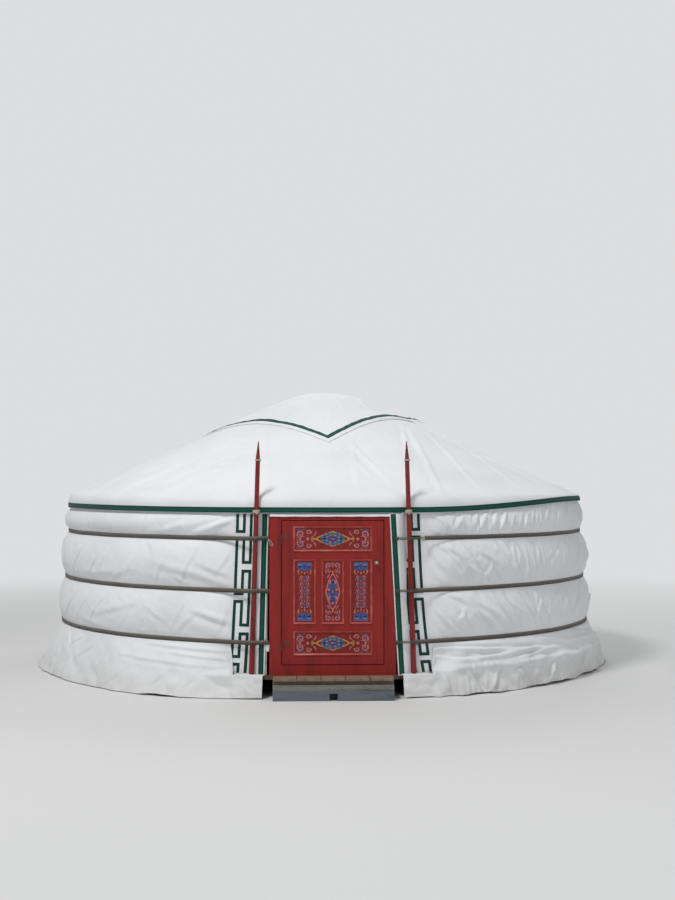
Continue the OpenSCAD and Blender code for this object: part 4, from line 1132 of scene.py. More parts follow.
def make_tapes():
    """Green eave band and the green tapes beside the door."""
    path = [(math.radians(az) * VALANCE_R, BAND_Z + sizes().band_width / 2 + float(eave_rise(az)))
            for az in np.linspace(-180, 180, 241)]
    band = laid_ribbon("eave_tape_band", path, sizes().band_width, eave_surface, 0.003, 0.0026, finish("green_tape"),
                       step=0.08, across=4)
    keep_on(band, HOUSE, "green_trim", "eave_band")
    for side, name in ((-1, "left"), (1, "right")):
        rows = np.linspace(FLOOR_Z + 0.012, 1.710, 110)
        path = [(edge_x(side, z) + 0.034, z) for z in rows]
        tape = laid_ribbon(f"edge_tape_{name}", path, sizes().edge_tape, lambda x, z, side=side: flap_point(side, x, z),
                           0.0026, 0.0022, finish("green_tape"), across=4)
        keep_on(tape, HOUSE, "green_trim", "edge_tapes")


# How far from the door frame each right belt ends, where cords take over: lowest belt first
BELT_TAILS = (0.155, 0.185, 0.270)


def belt_end(side, zb):
    """Plan route of a belt's inner face from the door frame over the side pole to where it meets the wall."""
    r = wall_line(zb) + 0.0004
    px, py = pole_axis(side, zb)
    over = math.hypot(px, py) + POLE_R + 0.003
    pole_az = math.degrees(math.atan2(px, -py))
    leave = pole_az + side * math.degrees(math.acos(min(1, r / over)))
    bend = [out_at(pole_az + side * a, over - 0.0009 * a * a) for a in (-0.45, -0.2, 0.05, 0.3)]
    if side < 0:
        end_r = wall_line(zb) + 0.0054
        end = side * math.degrees(math.asin(0.604 / end_r))
        near = [out_at(end + (pole_az - end) * t, end_r + (over - end_r) * t**1.6) for t in np.linspace(0, 0.86, 10)]
    else:
        # On the right it lies on the canvas that covers the edge of the frame
        start = np.array((0.606, FRAME_Y - 0.0165))
        near = [tuple(start + (np.array(bend[0]) - start) * t) for t in np.linspace(0, 0.86, 10)]
    return near + bend + [out_at(leave, r)]


def belt_route(zb):
    """Plan points of a belt's inner face from the left end round the back to the right end."""
    left, right = belt_end(-1, zb), belt_end(1, zb)
    left_az = math.degrees(math.atan2(left[-1][0], -left[-1][1])) % 360
    right_az = math.degrees(math.atan2(right[-1][0], -right[-1][1]))
    r = wall_line(zb) + 0.0004
    wrap = [out_at(az, r) for az in np.linspace(left_az, right_az, 260)[1:-1]]
    return np.array(left + wrap + right[::-1])


def split_route(route, tail):
    """The belt's own part of a route, and the rest near its right end, where the cords run."""
    run = run_along(route)
    cut = run[-1] - tail
    at = np.array([np.interp(cut, run, route[:, i]) for i in (0, 1)])
    return np.vstack([route[run < cut - 0.002], at]), np.vstack([at, route[run > cut + 0.002]])


def belt_piece(name, route, zb, width, thick, seed):
    """A belt as a closed band that follows a plan route, a little wavy along its edges."""
    rng = random.Random(seed)
    run = run_along(route)
    way = np.gradient(route, axis=0)
    way /= np.linalg.norm(way, axis=1, keepdims=True)
    out = np.stack([way[:, 1], -way[:, 0]], axis=1)
    out *= np.sign((out * route).sum(axis=1, keepdims=True))
    wobble = 0.002 * smooth_noise(rng, run, 0 * run, 0.9, 2)
    share = np.array([0, 0.06, 0.35, 0.65, 0.94, 1.0])
    swell = np.array([0.45, 0.85, 1.0, 1.0, 0.85, 0.45]) * thick
    z = zb - width / 2 + share[None, :] * width + wobble[:, None]
    xy = route[:, None, :] + out[:, None, :] * swell[None, :, None]
    points = np.concatenate([xy, z[..., None]], axis=2)
    uvs = np.stack(np.broadcast_arrays(run[:, None], share[None, :]), axis=-1)
    outward = np.concatenate([np.repeat(out[:, None, :], 6, axis=1), np.zeros((len(run), 6, 1))], axis=2)
    return shell(name, points, uvs, thick * 0.42, finish("webbing"), outward)


def make_belts():
    """Three belts that hold the wall canvas and pass over the side poles."""
    for i, zb in enumerate(BELT_Z):
        route, rest = split_route(belt_route(zb), BELT_TAILS[i])
        level = ("low", "middle", "upper")[i]
        obj = belt_piece(f"wall_belt_{level}", route, zb, sizes().belt_width, sizes().belt_thickness, 50 + i)
        keep_on(obj, HOUSE, "belt_webbing", "wall_belts")
        out = rest / np.linalg.norm(rest, axis=1, keepdims=True)
        for up, name in ((0.0065, "over"), (-0.0065, "under")):
            line = rest + out * 0.0062
            path = np.column_stack([line, np.full(len(line), zb + up)])
            obj = cord_piece(f"belt_cord_{level}_{name}", path, 0.0052, finish("grey_cord"))
            keep_on(obj, HOUSE, "belt_webbing", "wall_belts")


def border_az(side, z):
    """Azimuth of the border's outer column, which leans outwards towards the floor."""
    t = np.clip((1.66 - z) / 1.4, 0, 1.05)
    return 18.18 + 0.15 * t + 0.42 * t**3 if side < 0 else 16.54 + 0.30 * t + 1.20 * t**3


def make_border():
    """Green meander beside the door, sewn on the wall canvas, with a thin welt outside it."""
    period = 0.585
    for side, name, rise, gap in ((-1, "left", 0.0, 0.0695), (1, "right", 0.018, 0.073)):
        outer, inner, rim = 0.0, gap, 2 * gap
        turns = ((rim, 0.668), (inner, 0.668), (inner, 0.886), (outer, 0.886), (outer, 0.373), (inner, 0.373),
                 (inner, 0.585), (rim, 0.585))
        path = [(column, z + k * period + rise) for k in (2, 1, 0, -1) for column, z in turns]
        strokes = []
        low, high = 0.224, 1.709
        for (c0, z0), (c1, z1) in zip(path[:-1], path[1:]):
            inside = low < max(z0, z1) and min(z0, z1) < high and not (z0 == z1 and not low < z0 < high)
            if not inside:
                continue
            a, b = (c0, min(max(z0, low), high)), (c1, min(max(z1, low), high))
            if strokes and math.dist(strokes[-1][-1], a) < 1e-6:
                strokes[-1].append(b)
            else:
                strokes.append([a, b])

        def on_wall(x, z, side=side):
            """Wall face over the distance from the border's outer column."""
            az = side * (border_az(side, z) - np.degrees(x / ARC_R))
            return around(az, wall_radius(az, z), z)

        for n, stroke in enumerate(strokes):
            obj = laid_ribbon(f"border_{name}_{n + 1}", stroke, sizes().border, on_wall, 0.0020, 0.0017,
                              finish("border"))
            keep_on(obj, HOUSE, "green_trim")
        welt = [(-0.030, z) for z in np.linspace(low + 0.01, high, 100)]
        obj = laid_ribbon(f"border_welt_{name}", welt, 0.009, on_wall, 0.0035, 0.0032, finish("canvas"))
        keep_on(obj, HOUSE, "canvas")


# ---- cords, knots and fastenings


def smooth_path(points, per=8, closed=False):
    """A smooth path through points, with so many steps between two of them."""
    points = np.asarray(points, float)
    if closed:
        points = np.vstack([points[-1:], points, points[:2]])
    else:
        points = np.vstack([2 * points[:1] - points[1:2], points, 2 * points[-1:] - points[-2:-1]])
    rows = []
    for i in range(1, len(points) - 2):
        p0, p1, p2, p3 = points[i - 1 : i + 3]
        for t in np.arange(per) / per:
            rows.append(0.5 * (2 * p1 + (p2 - p0) * t + (2 * p0 - 5 * p1 + 4 * p2 - p3) * t * t
                               + (3 * p1 - p0 - 3 * p2 + p3) * t**3))
    if not closed:
        rows.append(points[-2])
    return np.array(rows)


def cord_piece(name, path, radius, material, closed=False, sides=9, pitch=5.0, step=0.9):
    """A laid cord along a path: three strands that wind round each other, with round ends."""
    path = np.asarray(path, float)
    if closed:
        path = np.vstack([path, path[:1]])
    run = run_along(path)
    count = max(6,int(run[-1] / (step * radius)))
    at = np.linspace(0, run[-1], count + 1)
    path = np.stack([np.interp(at, run, path[:, i]) for i in range(3)], axis=1)
    if closed:
        path, at = path[:-1], at[:-1]
        way = np.roll(path, -1, axis=0) - np.roll(path, 1, axis=0)
    else:
        way = np.gradient(path, axis=0)
    way /= np.linalg.norm(way, axis=1, keepdims=True)
    side = np.cross(way[0], (0.31, 0.22, 0.93))
    rows = []
    for one in way:
        side = side - one * (side @ one)
        side = side / np.linalg.norm(side)
        rows.append(side)
    rows = np.array(rows)
    if closed:
        last = rows[-1] - way[0] * (rows[-1] @ way[0])
        off = math.atan2(np.cross(rows[0], last) @ way[0], rows[0] @ last)
        turn = -off * np.arange(len(rows)) / len(rows)
        other = np.cross(way, rows)
        rows = rows * np.cos(turn)[:, None] + other * np.sin(turn)[:, None]
    other = np.cross(way, rows)
    spin = np.arange(sides) / sides * 2 * math.pi
    turns = round(run[-1] / (pitch * 2 * radius)) or 1
    wind = at / run[-1] * turns * 2 * math.pi
    bulge = 0.90 + 0.10 * np.cos(3 * (spin[None, :] - wind[:, None]))
    if not closed:
        bulge[0], bulge[-1] = 0.55, 0.55
    ring = rows[:, None] * np.cos(spin)[None, :, None] + other[:, None] * np.sin(spin)[None, :, None]
    points = path[:, None] + ring * (radius * bulge)[..., None]
    n = len(path)
    verts = points.reshape(-1, 3)
    faces = []
    for i in range(n if closed else n - 1):
        a, b = i * sides, ((i + 1) % n) * sides
        faces += [(a + k, a + (k + 1) % sides, b + (k + 1) % sides, b + k) for k in range(sides)]
    if not closed:
        tips = [path[0] - way[0] * radius * 0.4, path[-1] + way[-1] * radius * 0.4]
        verts = np.vstack([verts, tips])
        faces += [(k, n * sides, (k + 1) % sides) for k in range(sides)]
        faces += [((n - 1) * sides + (k + 1) % sides, n * sides + 1, (n - 1) * sides + k) for k in range(sides)]
    uvs = np.zeros((len(verts), 2))
    uvs[: n * sides, 0] = np.repeat(at, sides)
    uvs[: n * sides, 1] = np.tile(np.arange(sides) / sides * 0.03, n)
    obj = mesh_piece(name, verts, faces, material, uvs)
    face_out(obj)
    return obj


def face_out(obj):
    """Turns the faces of closed forms outwards."""
    work = bmesh.new()
    work.from_mesh(obj.data)
    bmesh.ops.recalc_face_normals(work, faces=work.faces)
    work.to_mesh(obj.data)
    work.free()
    obj.data.update()


def wall_axes(centre):
    """Right, up and outward at a place on the wall."""
    out = np.array([centre[0], centre[1], 0.0]) / math.hypot(centre[0], centre[1])
    return np.array([-out[1], out[0], 0.0]), np.array([0.0, 0.0, 1.0]), out


def knot(name, centre, size, material):
    """A cord tied in an overhand knot, drawn tight."""
    right, up, out = wall_axes(centre)
    t = np.linspace(0, 2 * math.pi, 61)[:-1]
    flat = (np.sin(t) + 2 * np.sin(2 * t), np.cos(t) - 2 * np.cos(2 * t), -np.sin(3 * t))
    path = np.array(centre) + sum(axis * (part * size / 3)[:, None] for axis, part in zip((right, up, out), flat))
    return cord_piece(name, path, size * 0.36, material, closed=True)


def binding(name, centre, half_height, half_depth, turns, radius, material):
    """Cord wound round a belt, turn beside turn."""
    right, up, out = wall_axes(centre)
    t = np.linspace(0, turns * 2 * math.pi, turns * 20 + 1)
    high = half_height * np.sign(np.cos(t)) * abs(np.cos(t)) ** 0.5
    deep = half_depth * np.sign(np.sin(t)) * abs(np.sin(t)) ** 0.7
    along = (t / (2 * math.pi) - turns / 2) * 2 * radius
    path = np.array(centre) + right * along[:, None] + up * high[:, None] + out * deep[:, None]
    return cord_piece(name, path, radius, material)


def make_fastenings():
    """Bindings and knots at the belts' ends, a loop and a cloth tab on the left, and cord round the poles."""
    for i, zb in enumerate(BELT_Z):
        level = ("low", "middle", "upper")[i]
        route, rest = split_route(belt_route(zb), BELT_TAILS[i])
        out = route[-1] / np.linalg.norm(route[-1])
        pale = "pale_cord" if i == 2 else "grey_cord"
        spot = (*(route[-1] + out * 0.0052), zb)
        keep_on(binding(f"belt_binding_{level}", spot, 0.0215, 0.0105, 3, 0.0042, finish(pale)), HOUSE, "pole_tie")
        end = (rest[-1][0] - 0.004, rest[-1][1] - 0.012, zb)
        keep_on(knot(f"belt_knot_{level}_right", end, 0.017, finish("grey_cord")), HOUSE, "belt_webbing")
        start = (route[0][0] - 0.004, route[0][1] - 0.016, zb)
        keep_on(knot(f"belt_knot_{level}_left", start, 0.015, finish("grey_cord")), HOUSE, "belt_webbing")
    face = FRAME_Y - 0.0042
    loop = [(-0.606, -2.862, 1.476), (-0.600, face - 0.003, 1.474), (-0.580, face, 1.452), (-0.563, face, 1.424),
            (-0.571, face, 1.411), (-0.588, face, 1.428), (-0.601, face - 0.002, 1.458), (-0.609, -2.864, 1.470)]
    keep_on(cord_piece("belt_loop_left", smooth_path(loop), 0.0036, finish("pale_cord")), HOUSE, "pole_tie")
    width, height = np.meshgrid(np.linspace(-0.019, 0.019, 12), np.linspace(0.0, 1.0, 16), indexing="ij")
    bow = 0.005 * np.cos(width / 0.019 * 1.4) + 0.004 * np.sin(height * math.pi)
    points = np.stack([-0.611 + width * (1 - 0.15 * height), -2.884 - bow, 0.488 - 0.060 * height], axis=-1)
    uvs = np.stack([width, 0.060 * height], axis=-1)
    tab = shell("belt_tab_left", points, uvs, 0.003, finish("canvas"), outward_of(points))
    keep_on(tab, HOUSE, "canvas")
    low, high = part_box("pole_rings")
    for side, name in ((-1, "left"), (1, "right")):
        for level, z0, z1, thick, core in (("tip", low[2], high[2], 0.0036, 0.0215),
                                           ("eave", 1.712, 1.752, sizes().pole_cord, POLE_R)):
            turns = max(3, int((z1 - z0) / (2 * thick)))
            t = np.linspace(0, turns * 2 * math.pi, turns * 22 + 1)
            z = z0 + thick + (z1 - z0 - 2 * thick) * t / t[-1]
            x, y = pole_axis(side, z)
            path = np.column_stack([x + (core + thick) * np.cos(t), y + (core + thick) * np.sin(t), z])
            obj = cord_piece(f"pole_binding_{level}_{name}", path, thick, finish("pale_cord"))
            keep_on(obj, HOUSE, "pole_tie", *(["pole_rings"] if level == "tip" else []))
        x, y = pole_axis(side, 1.727)
        spot = (x - side * 0.004, y - POLE_R - 0.014, 1.727)
        keep_on(knot(f"pole_knot_{name}", spot, 0.017, finish("pale_cord")), HOUSE, "pole_tie")


# ---- door


# Left, foot, width and height of the door's five panels
PANELS = (
    (-0.371, 1.360, 0.742, 0.235), (-0.371, 0.389, 0.742, 0.225),
    (-0.371, 0.680, 0.21267, 0.605), (-0.10633, 0.680, 0.21267, 0.605), (0.15833, 0.680, 0.21267, 0.605),
)
# Section of the moulding: distance from its outer edge, and how far it stands out from the leaf
MOULDING_LINE = (
    (0.0, 0.0), (0.0, 0.0062), (0.0014, 0.0080), (0.0040, 0.0080), (0.0054, 0.0068), (0.0158, 0.0006),
    (0.0172, -0.0038), (0.0162, -0.0038), (0.0162, 0.0),
)


def make_mouldings():
    """Mitred mouldings round the door's panels, which slope down to them from a proud edge."""
    verts, faces = [], []
    for x, z, w, h in PANELS:
        base, n = len(verts), len(MOULDING_LINE)
        for inset, rise in MOULDING_LINE:
            verts += [(x + inset, FRAME_Y - rise, z + inset), (x + w - inset, FRAME_Y - rise, z + inset),
                      (x + w - inset, FRAME_Y - rise, z + h - inset), (x + inset, FRAME_Y - rise, z + h - inset)]
        for k in range(n):
            low, high = base + 4 * k, base + 4 * ((k + 1) % n)
            faces += [(low + c, low + (c + 1) % 4, high + (c + 1) % 4, high + c) for c in range(4)]
    obj = mesh_piece("door_moulding_frames", verts, faces, finish("moulding"), smooth=False)
    face_out(obj)
    keep_on(obj, LEAF, "red_paint", "door_mouldings")


# Middle of the turned knob; then its section: how far it stands out from the leaf, and its radius there, in mm
KNOB_X, KNOB_Z = 0.412, 1.250
KNOB_LINE = (
    (0, 0), (0, 18), (1.6, 19), (3.0, 18), (3.8, 15), (4.4, 10), (6, 7.6), (12, 6.2), (20, 6.6), (24, 8.6), (27, 11.6),
    (31, 13.8), (35, 14.6), (39, 13.8), (42, 11.4), (44, 7.2), (45, 3), (45.2, 0),
)


def make_knob():
    """Turned steel knob on its rose."""
    sides = 40
    turn = np.linspace(0, 2 * math.pi, sides, endpoint=False)
    verts, faces = [], []
    for out, radius in KNOB_LINE:
        for a in turn:
            verts.append((KNOB_X + radius / 1000 * math.cos(a), FRAME_Y - out / 1000,
                          KNOB_Z + radius / 1000 * math.sin(a)))
    for k in range(len(KNOB_LINE) - 1):
        faces += [(k * sides + i, k * sides + (i + 1) % sides, (k + 1) * sides + (i + 1) % sides, (k + 1) * sides + i)
                  for i in range(sides)]
    obj = mesh_piece("door_knob_turned", verts, faces, finish("knob"))
    work = bmesh.new()
    work.from_mesh(obj.data)
    bmesh.ops.remove_doubles(work, verts=work.verts, dist=1e-6)
    bmesh.ops.recalc_face_normals(work, faces=work.faces)
    work.to_mesh(obj.data)
    work.free()
    keep_on(obj, LEAF, "knob_metal", "door_knob")


def brush(path, width, shape="vine"):
    """Both sides of a brush stroke along a path in mm: a vine thins to its end, a leaf to both ends."""
    path = np.asarray(path, float)
    t = np.linspace(0, 1, len(path))
    wide = {"vine": 1 - 0.55 * t, "leaf": np.sin(math.pi * (0.04 + 0.92 * t)) ** 0.7,
            "drop": np.sin(math.pi * (0.06 + 0.88 * t**0.55)), "band": 1 + 0 * t}[shape] * width / 2
    way = np.gradient(path, axis=0)
    way /= np.maximum(np.linalg.norm(way, axis=1, keepdims=True), 1e-9)
    side = np.stack([-way[:, 1], way[:, 0]], axis=1) * wide[:, None]
    return path + side, path - side


def line_of(x0, z0, x1, z1, bow=0.0, n=11):
    """A path in mm between two points, bowed to its left."""
    t = np.linspace(0, 1, n)
    length = math.hypot(x1 - x0, z1 - z0)
    swing = bow * np.sin(math.pi * t)
    return np.column_stack([x0 + (x1 - x0) * t - (z1 - z0) / length * swing,
                            z0 + (z1 - z0) * t + (x1 - x0) / length * swing])


def scroll(cx, cz, r0, r1, start, turn, n=24):
    """A spiral path in mm about a centre, from radius r0 to r1, with angles in degrees."""
    t = np.linspace(0, 1, n)
    r, a = r0 + (r1 - r0) * t**0.8, np.radians(start + turn * t)
    return np.column_stack([cx + r * np.cos(a), cz + r * np.sin(a)])


def lens(w, h, power=0.62, upright=False):
    """Both sides of a pointed oval in mm."""
    along = np.sin(np.linspace(-math.pi / 2, math.pi / 2, 33)) * w
    rise = h * (1 - abs(along / w)) ** power
    one, two = np.column_stack([along, rise]), np.column_stack([along, -rise])
    return (one[:, ::-1], two[:, ::-1]) if upright else (one, two)


def petals(a, b, inner, count, width):
    """Leaves that stand round an oval of half sizes a and b in mm."""
    rows = []
    for k in range(count):
        angle = 2 * math.pi * (k + 0.5) / count
        x, z = a * math.cos(angle), b * math.sin(angle)
        rows.append(brush(line_of(x * inner, z * inner, x, z), width, "leaf"))
    return rows


def wide_ornament():
    """Strokes of the upper and lower panels: a pointed medallion between scrolls."""
    rows = [("ochre", 0, lens(168, 74, 0.75)), ("ground", 1, lens(140, 62, 0.7))]
    ring = petals(116, 64, 0.42, 14, 32)
    rows += [("teal" if k % 2 else "blue", 2, one) for k, one in enumerate(ring)]
    rows += [("pink", 3, one) for one in petals(76, 42, 0.6, 8, 17)]
    rows += [("deep_blue", 4, lens(58, 27, 0.5)), ("pink", 5, lens(17, 9, 0.5))]
    rows += [("blue", 5, brush(line_of(side * 22, 0, side * 46, 0), 12, "leaf")) for side in (-1, 1)]
    for sx in (-1, 1):
        flip = np.array([sx, 1])
        rows.append(("ochre", 1, tuple(p * flip for p in brush(line_of(158, 0, 206, 0), 17, "leaf"))))
        rows += [("pink", 1, tuple(p * flip for p in one)) for one in petals(17, 17, 0.25, 6, 11)]
        rows[-6:] = [(c, n, tuple(p + np.array([sx * 236, 0]) for p in pair)) for c, n, pair in rows[-6:]]
        rows.append(("ochre", 2, tuple(p + np.array([sx * 236, 0]) for p in lens(5.5, 5.5, 0.5))))
        for sz in (-1, 1):
            both = np.array([sx, sz])
            for colour, layer, one in (
                ("pink", 1, brush(scroll(300, 45, 41, 9, -95, 470), 16)),
                ("pink", 1, brush(scroll(228, 60, 27, 7, 200, -430), 13)),
                ("pink", 1, brush(line_of(345, 6, 262, 22, -8), 10, "leaf")),
                ("pink", 1, brush(line_of(196, 24, 158, 74, 12), 12, "leaf")),
                ("ochre", 1, brush(line_of(206, 12, 178, 46, 8), 9, "leaf")),
                ("blue", 2, brush(line_of(290, 45, 311, 45), 17, "leaf")),
                ("blue", 1, brush(line_of(342, 84, 300, 90, 3), 12, "leaf")),
                ("teal", 1, brush(line_of(286, 90, 250, 92, 2), 10, "leaf")),
                ("deep_blue", 2, brush(line_of(222, 60, 236, 60), 12, "leaf")),
            ):
                rows.append((colour, layer, tuple(p * both for p in one)))
    return rows


def side_ornament():
    """Strokes of the outer slim panels: blue palmettes at both ends of a column of scrolls."""
    rows = []
    for sz in (-1, 1):
        up = np.array([1, sz])
        for colour, layer, one in (
            ("blue", 1, brush(line_of(-66, 252, 66, 252), 44, "band")),
            ("blue", 1, brush(line_of(-42, 238, -42, 196), 44, "drop")),
            ("blue", 1, brush(line_of(42, 238, 42, 196), 44, "drop")),
            ("blue", 1, brush(line_of(0, 238, 0, 190), 42, "drop")),
            ("teal", 2, brush(line_of(-66, 266, 66, 266), 6, "band")),
            ("pink", 2, brush(line_of(-62, 246, -22, 246, 7), 8, "leaf")),
            ("pink", 2, brush(line_of(62, 246, 22, 246, -7), 8, "leaf")),
            ("deep_blue", 2, brush(line_of(0, 256, 0, 200), 22, "drop")),
            ("deep_blue", 2, brush(line_of(-44, 232, -40, 206), 15, "drop")),
            ("deep_blue", 2, brush(line_of(44, 232, 40, 206), 15, "drop")),
            ("amber", 1, brush(line_of(-60, 206, -46, 158, -5), 15, "drop")),
            ("amber", 1, brush(line_of(60, 206, 46, 158, 5), 15, "drop")),
            ("amber", 1, brush(line_of(-26, 196, -34, 168, 4), 9, "drop")),
            ("amber", 1, brush(line_of(26, 196, 34, 168, -4), 9, "drop")),
            ("pink", 1, brush(line_of(0, 184, 0, 158), 14, "drop")),
        ):
            rows.append((colour, layer, tuple(p * up for p in one)))
    for k in range(5):
        z = (k - 2) * 62
        for sx in (-1, 1):
            flip = np.array([sx, 1])
            rows.append(("pink", 1, tuple(p * flip for p in brush(scroll(26, z + 13, 19, 5, -110, 400, 18), 10))))
            rows.append(("pink", 1, tuple(p * flip for p in brush(scroll(22, z - 17, 13, 4, 120, -330, 14), 9))))
            rows.append(("blue", 1, tuple(p * flip for p in brush(line_of(50, z - 4, 40, z - 28, 4), 9, "leaf"))))
        rows.append(("blue", 2, brush(line_of(0, z + 18, 0, z - 14), 20, "leaf")))
        rows.append(("deep_blue", 3, brush(line_of(0, z + 9, 0, z - 6), 9, "leaf")))
        rows.append(("ochre", 1, brush(line_of(0, z - 18, 0, z - 34), 10, "leaf")))
    return rows


def middle_ornament():
    """Strokes of the middle panel: an upright pointed medallion with scrolls above and below."""
    rows = [("pink", 1, lens(172, 72, 0.6, True)), ("ground", 2, lens(156, 58, 0.6, True))]
    ring = petals(50, 122, 0.48, 14, 30)
    rows += [("blue" if k % 2 else "pink", 3, one) for k, one in enumerate(ring)]
    rows += [("teal", 4, one) for one in petals(30, 72, 0.62, 8, 12)]
    rows += [("deep_blue", 5, lens(92, 27, 0.55, True)), ("pink", 6, lens(16, 9, 0.5, True))]
    for sz in (-1, 1):
        rows.append(("blue", 6, brush(line_of(0, sz * 26, 0, sz * 62), 14, "leaf")))
        rows.append(("ochre", 2, brush(line_of(0, sz * 168, 0, sz * 196), 16, "leaf")))
        rows.append(("pink", 1, brush(line_of(0, sz * 276, 0, sz * 226), 20, "drop")))
        rows.append(("deep_blue", 2, brush(line_of(0, sz * 268, 0, sz * 240), 8, "drop")))
        for sx in (-1, 1):
            both = np.array([sx, sz])
            for colour, one in (
                ("pink", brush(scroll(38, 246, 29, 7, -60, 430), 13)),
                ("pink", brush(scroll(30, 196, 20, 5, 60, -400, 18), 10)),
                ("pink", brush(line_of(64, 206, 54, 168, 5), 10, "leaf")),
                ("pink", brush(line_of(30, 168, 58, 128, -4), 10, "leaf")),
                ("blue", brush(line_of(68, 226, 60, 208), 10, "leaf")),
                ("blue", brush(line_of(33, 246, 44, 246), 12, "leaf")),
            ):
                rows.append((colour, 1, tuple(p * both for p in one)))
    return rows


def make_ornament():
    """Hand-painted scrolls and medallions on the door's panels, each colour a thin raised coat."""
    coats = {}
    kinds = (wide_ornament, wide_ornament, side_ornament, middle_ornament, side_ornament)
    for (x, z, w, h), kind in zip(PANELS, kinds):
        middle = np.array([x + w / 2, z + h / 2])
        squeeze = np.array([1.0, 0.96]) if kind is wide_ornament and h < 0.23 else np.array([1.0, 1.0])
        for colour, layer, (left, right) in kind():
            verts, faces = coats.setdefault(colour, ([], []))
            top, base, n = PANEL_FACE_Y - 0.0005 - 0.00035 * layer, PANEL_FACE_Y + 0.0002, len(left)
            first = len(verts)
            for y in (top, base):
                for edge in (left, right):
                    verts += [(px, y, pz) for px, pz in middle + edge * squeeze / 1000]
            rows = [first + n * k for k in range(4)]
            for i in range(n - 1):
                a, b, c, d = (row + i for row in rows)
                faces += [(a, a + 1, b + 1, b), (c, d, d + 1, c + 1), (a, c, c + 1, a + 1), (b, b + 1, d + 1, d)]
            for i in (0, n - 1):
                faces.append(tuple(rows[k] + i for k in (0, 1, 3, 2)))
    for colour, (verts, faces) in coats.items():
        kind = "panel_red" if colour == "ground" else colour
        obj = mesh_piece(f"door_ornament_{colour}", verts, faces, finish(kind), smooth=False)
        face_out(obj)
        keep_on(obj, LEAF, "door_panel_paint")


# ---- step and floor


def worn_block(work, low, high, rounding, rng, wear):
    """Adds a block with rounded, slightly worn edges to a mesh in the making."""
    made = bmesh.ops.create_cube(work, size=1.0)["verts"]
    for vert in made:
        for i in range(3):
            vert.co[i] = (low[i] + high[i]) / 2 + vert.co[i] * (high[i] - low[i] - 2 * wear)
            vert.co[i] += rng.uniform(-wear, wear)
    edges = list({edge for vert in made for edge in vert.link_edges})
    bmesh.ops.bevel(work, geom=edges, offset=rounding, segments=2, affect="EDGES", profile=0.6)


def block_piece(name, blocks, rounding, wear, material, seed):
    """One piece of many blocks, given by their low and high corners."""
    rng = random.Random(seed)
    work = bmesh.new()
    for low, high in blocks:
        worn_block(work, low, high, rounding, rng, wear)
    mesh = bpy.data.meshes.new(name)
    work.to_mesh(mesh)
    work.free()
    mesh.materials.append(material)
    return new_object(name, mesh)


def make_step():
    """Clay tiles of the threshold, each with its own worn edges."""
    (x0, y0, z0), (x1, y1, z1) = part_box("threshold_tiles")
    count, joint = sizes().tiles, 0.004
    width = (x1 - x0 - (count - 1) * joint) / count
    blocks = [((x0 + i * (width + joint), y0, z0), (x0 + i * (width + joint) + width, y1, z1)) for i in range(count)]
    tiles = block_piece("clay_tiles", blocks, 0.0035, 0.0008, finish("clay"), 7)
    keep_on(tiles, HOUSE, "threshold_tile", "threshold_tiles")


def make_floor():
    """Floor boards over the deck, cut to the round of the lattice."""
    pitch, gap, reach, rise = sizes().board_pitch, 0.003, 2.895, 0.0025
    blocks = []
    rng = random.Random(17)
    for i in range(-22, 23):
        left, right = i * pitch - pitch / 2 + gap / 2, i * pitch + pitch / 2 - gap / 2
        far = max(abs(left), abs(right))
        if far > reach - 0.08:
            continue
        back = math.sqrt(reach**2 - far**2)
        front = max(-back, -2.785) if far < 0.72 else -back
        joint = rng.uniform(-0.5, 0.5) * back
        for y0, y1 in ((front, joint - gap / 2), (joint + gap / 2, back)):
            blocks.append(((left, y0, FLOOR_Z - 0.001), (right, y1, FLOOR_Z + rise)))
    boards = block_piece("floor_boards", blocks, 0.0011, 0.0002, finish("boards"), 19)
    keep_on(boards, HOUSE, "bare_timber")


# ---- repeated small parts, by Geometry Nodes


def node_inputs(tree, *rows):
    """Named inputs of a node tree: name, kind and default."""
    for name, kind, value in rows:
        socket = tree.interface.new_socket(name, in_out="INPUT", socket_type=f"NodeSocket{kind}")
        if value is not None:
            socket.default_value = value
    tree.interface.new_socket("Result", in_out="OUTPUT", socket_type="NodeSocketGeometry")
    return add(tree, "NodeGroupInput").outputs


def end_tree(tree, instances, material):
    """Ends a tree in real, painted meshes."""
    real = add(tree, "GeometryNodeRealizeInstances", {"Geometry": instances})
    dressed = add(tree, "GeometryNodeSetMaterial", {"Geometry": real.outputs[0], "Material": material})
    add(tree, "NodeGroupOutput", {"Result": dressed.outputs[0]})


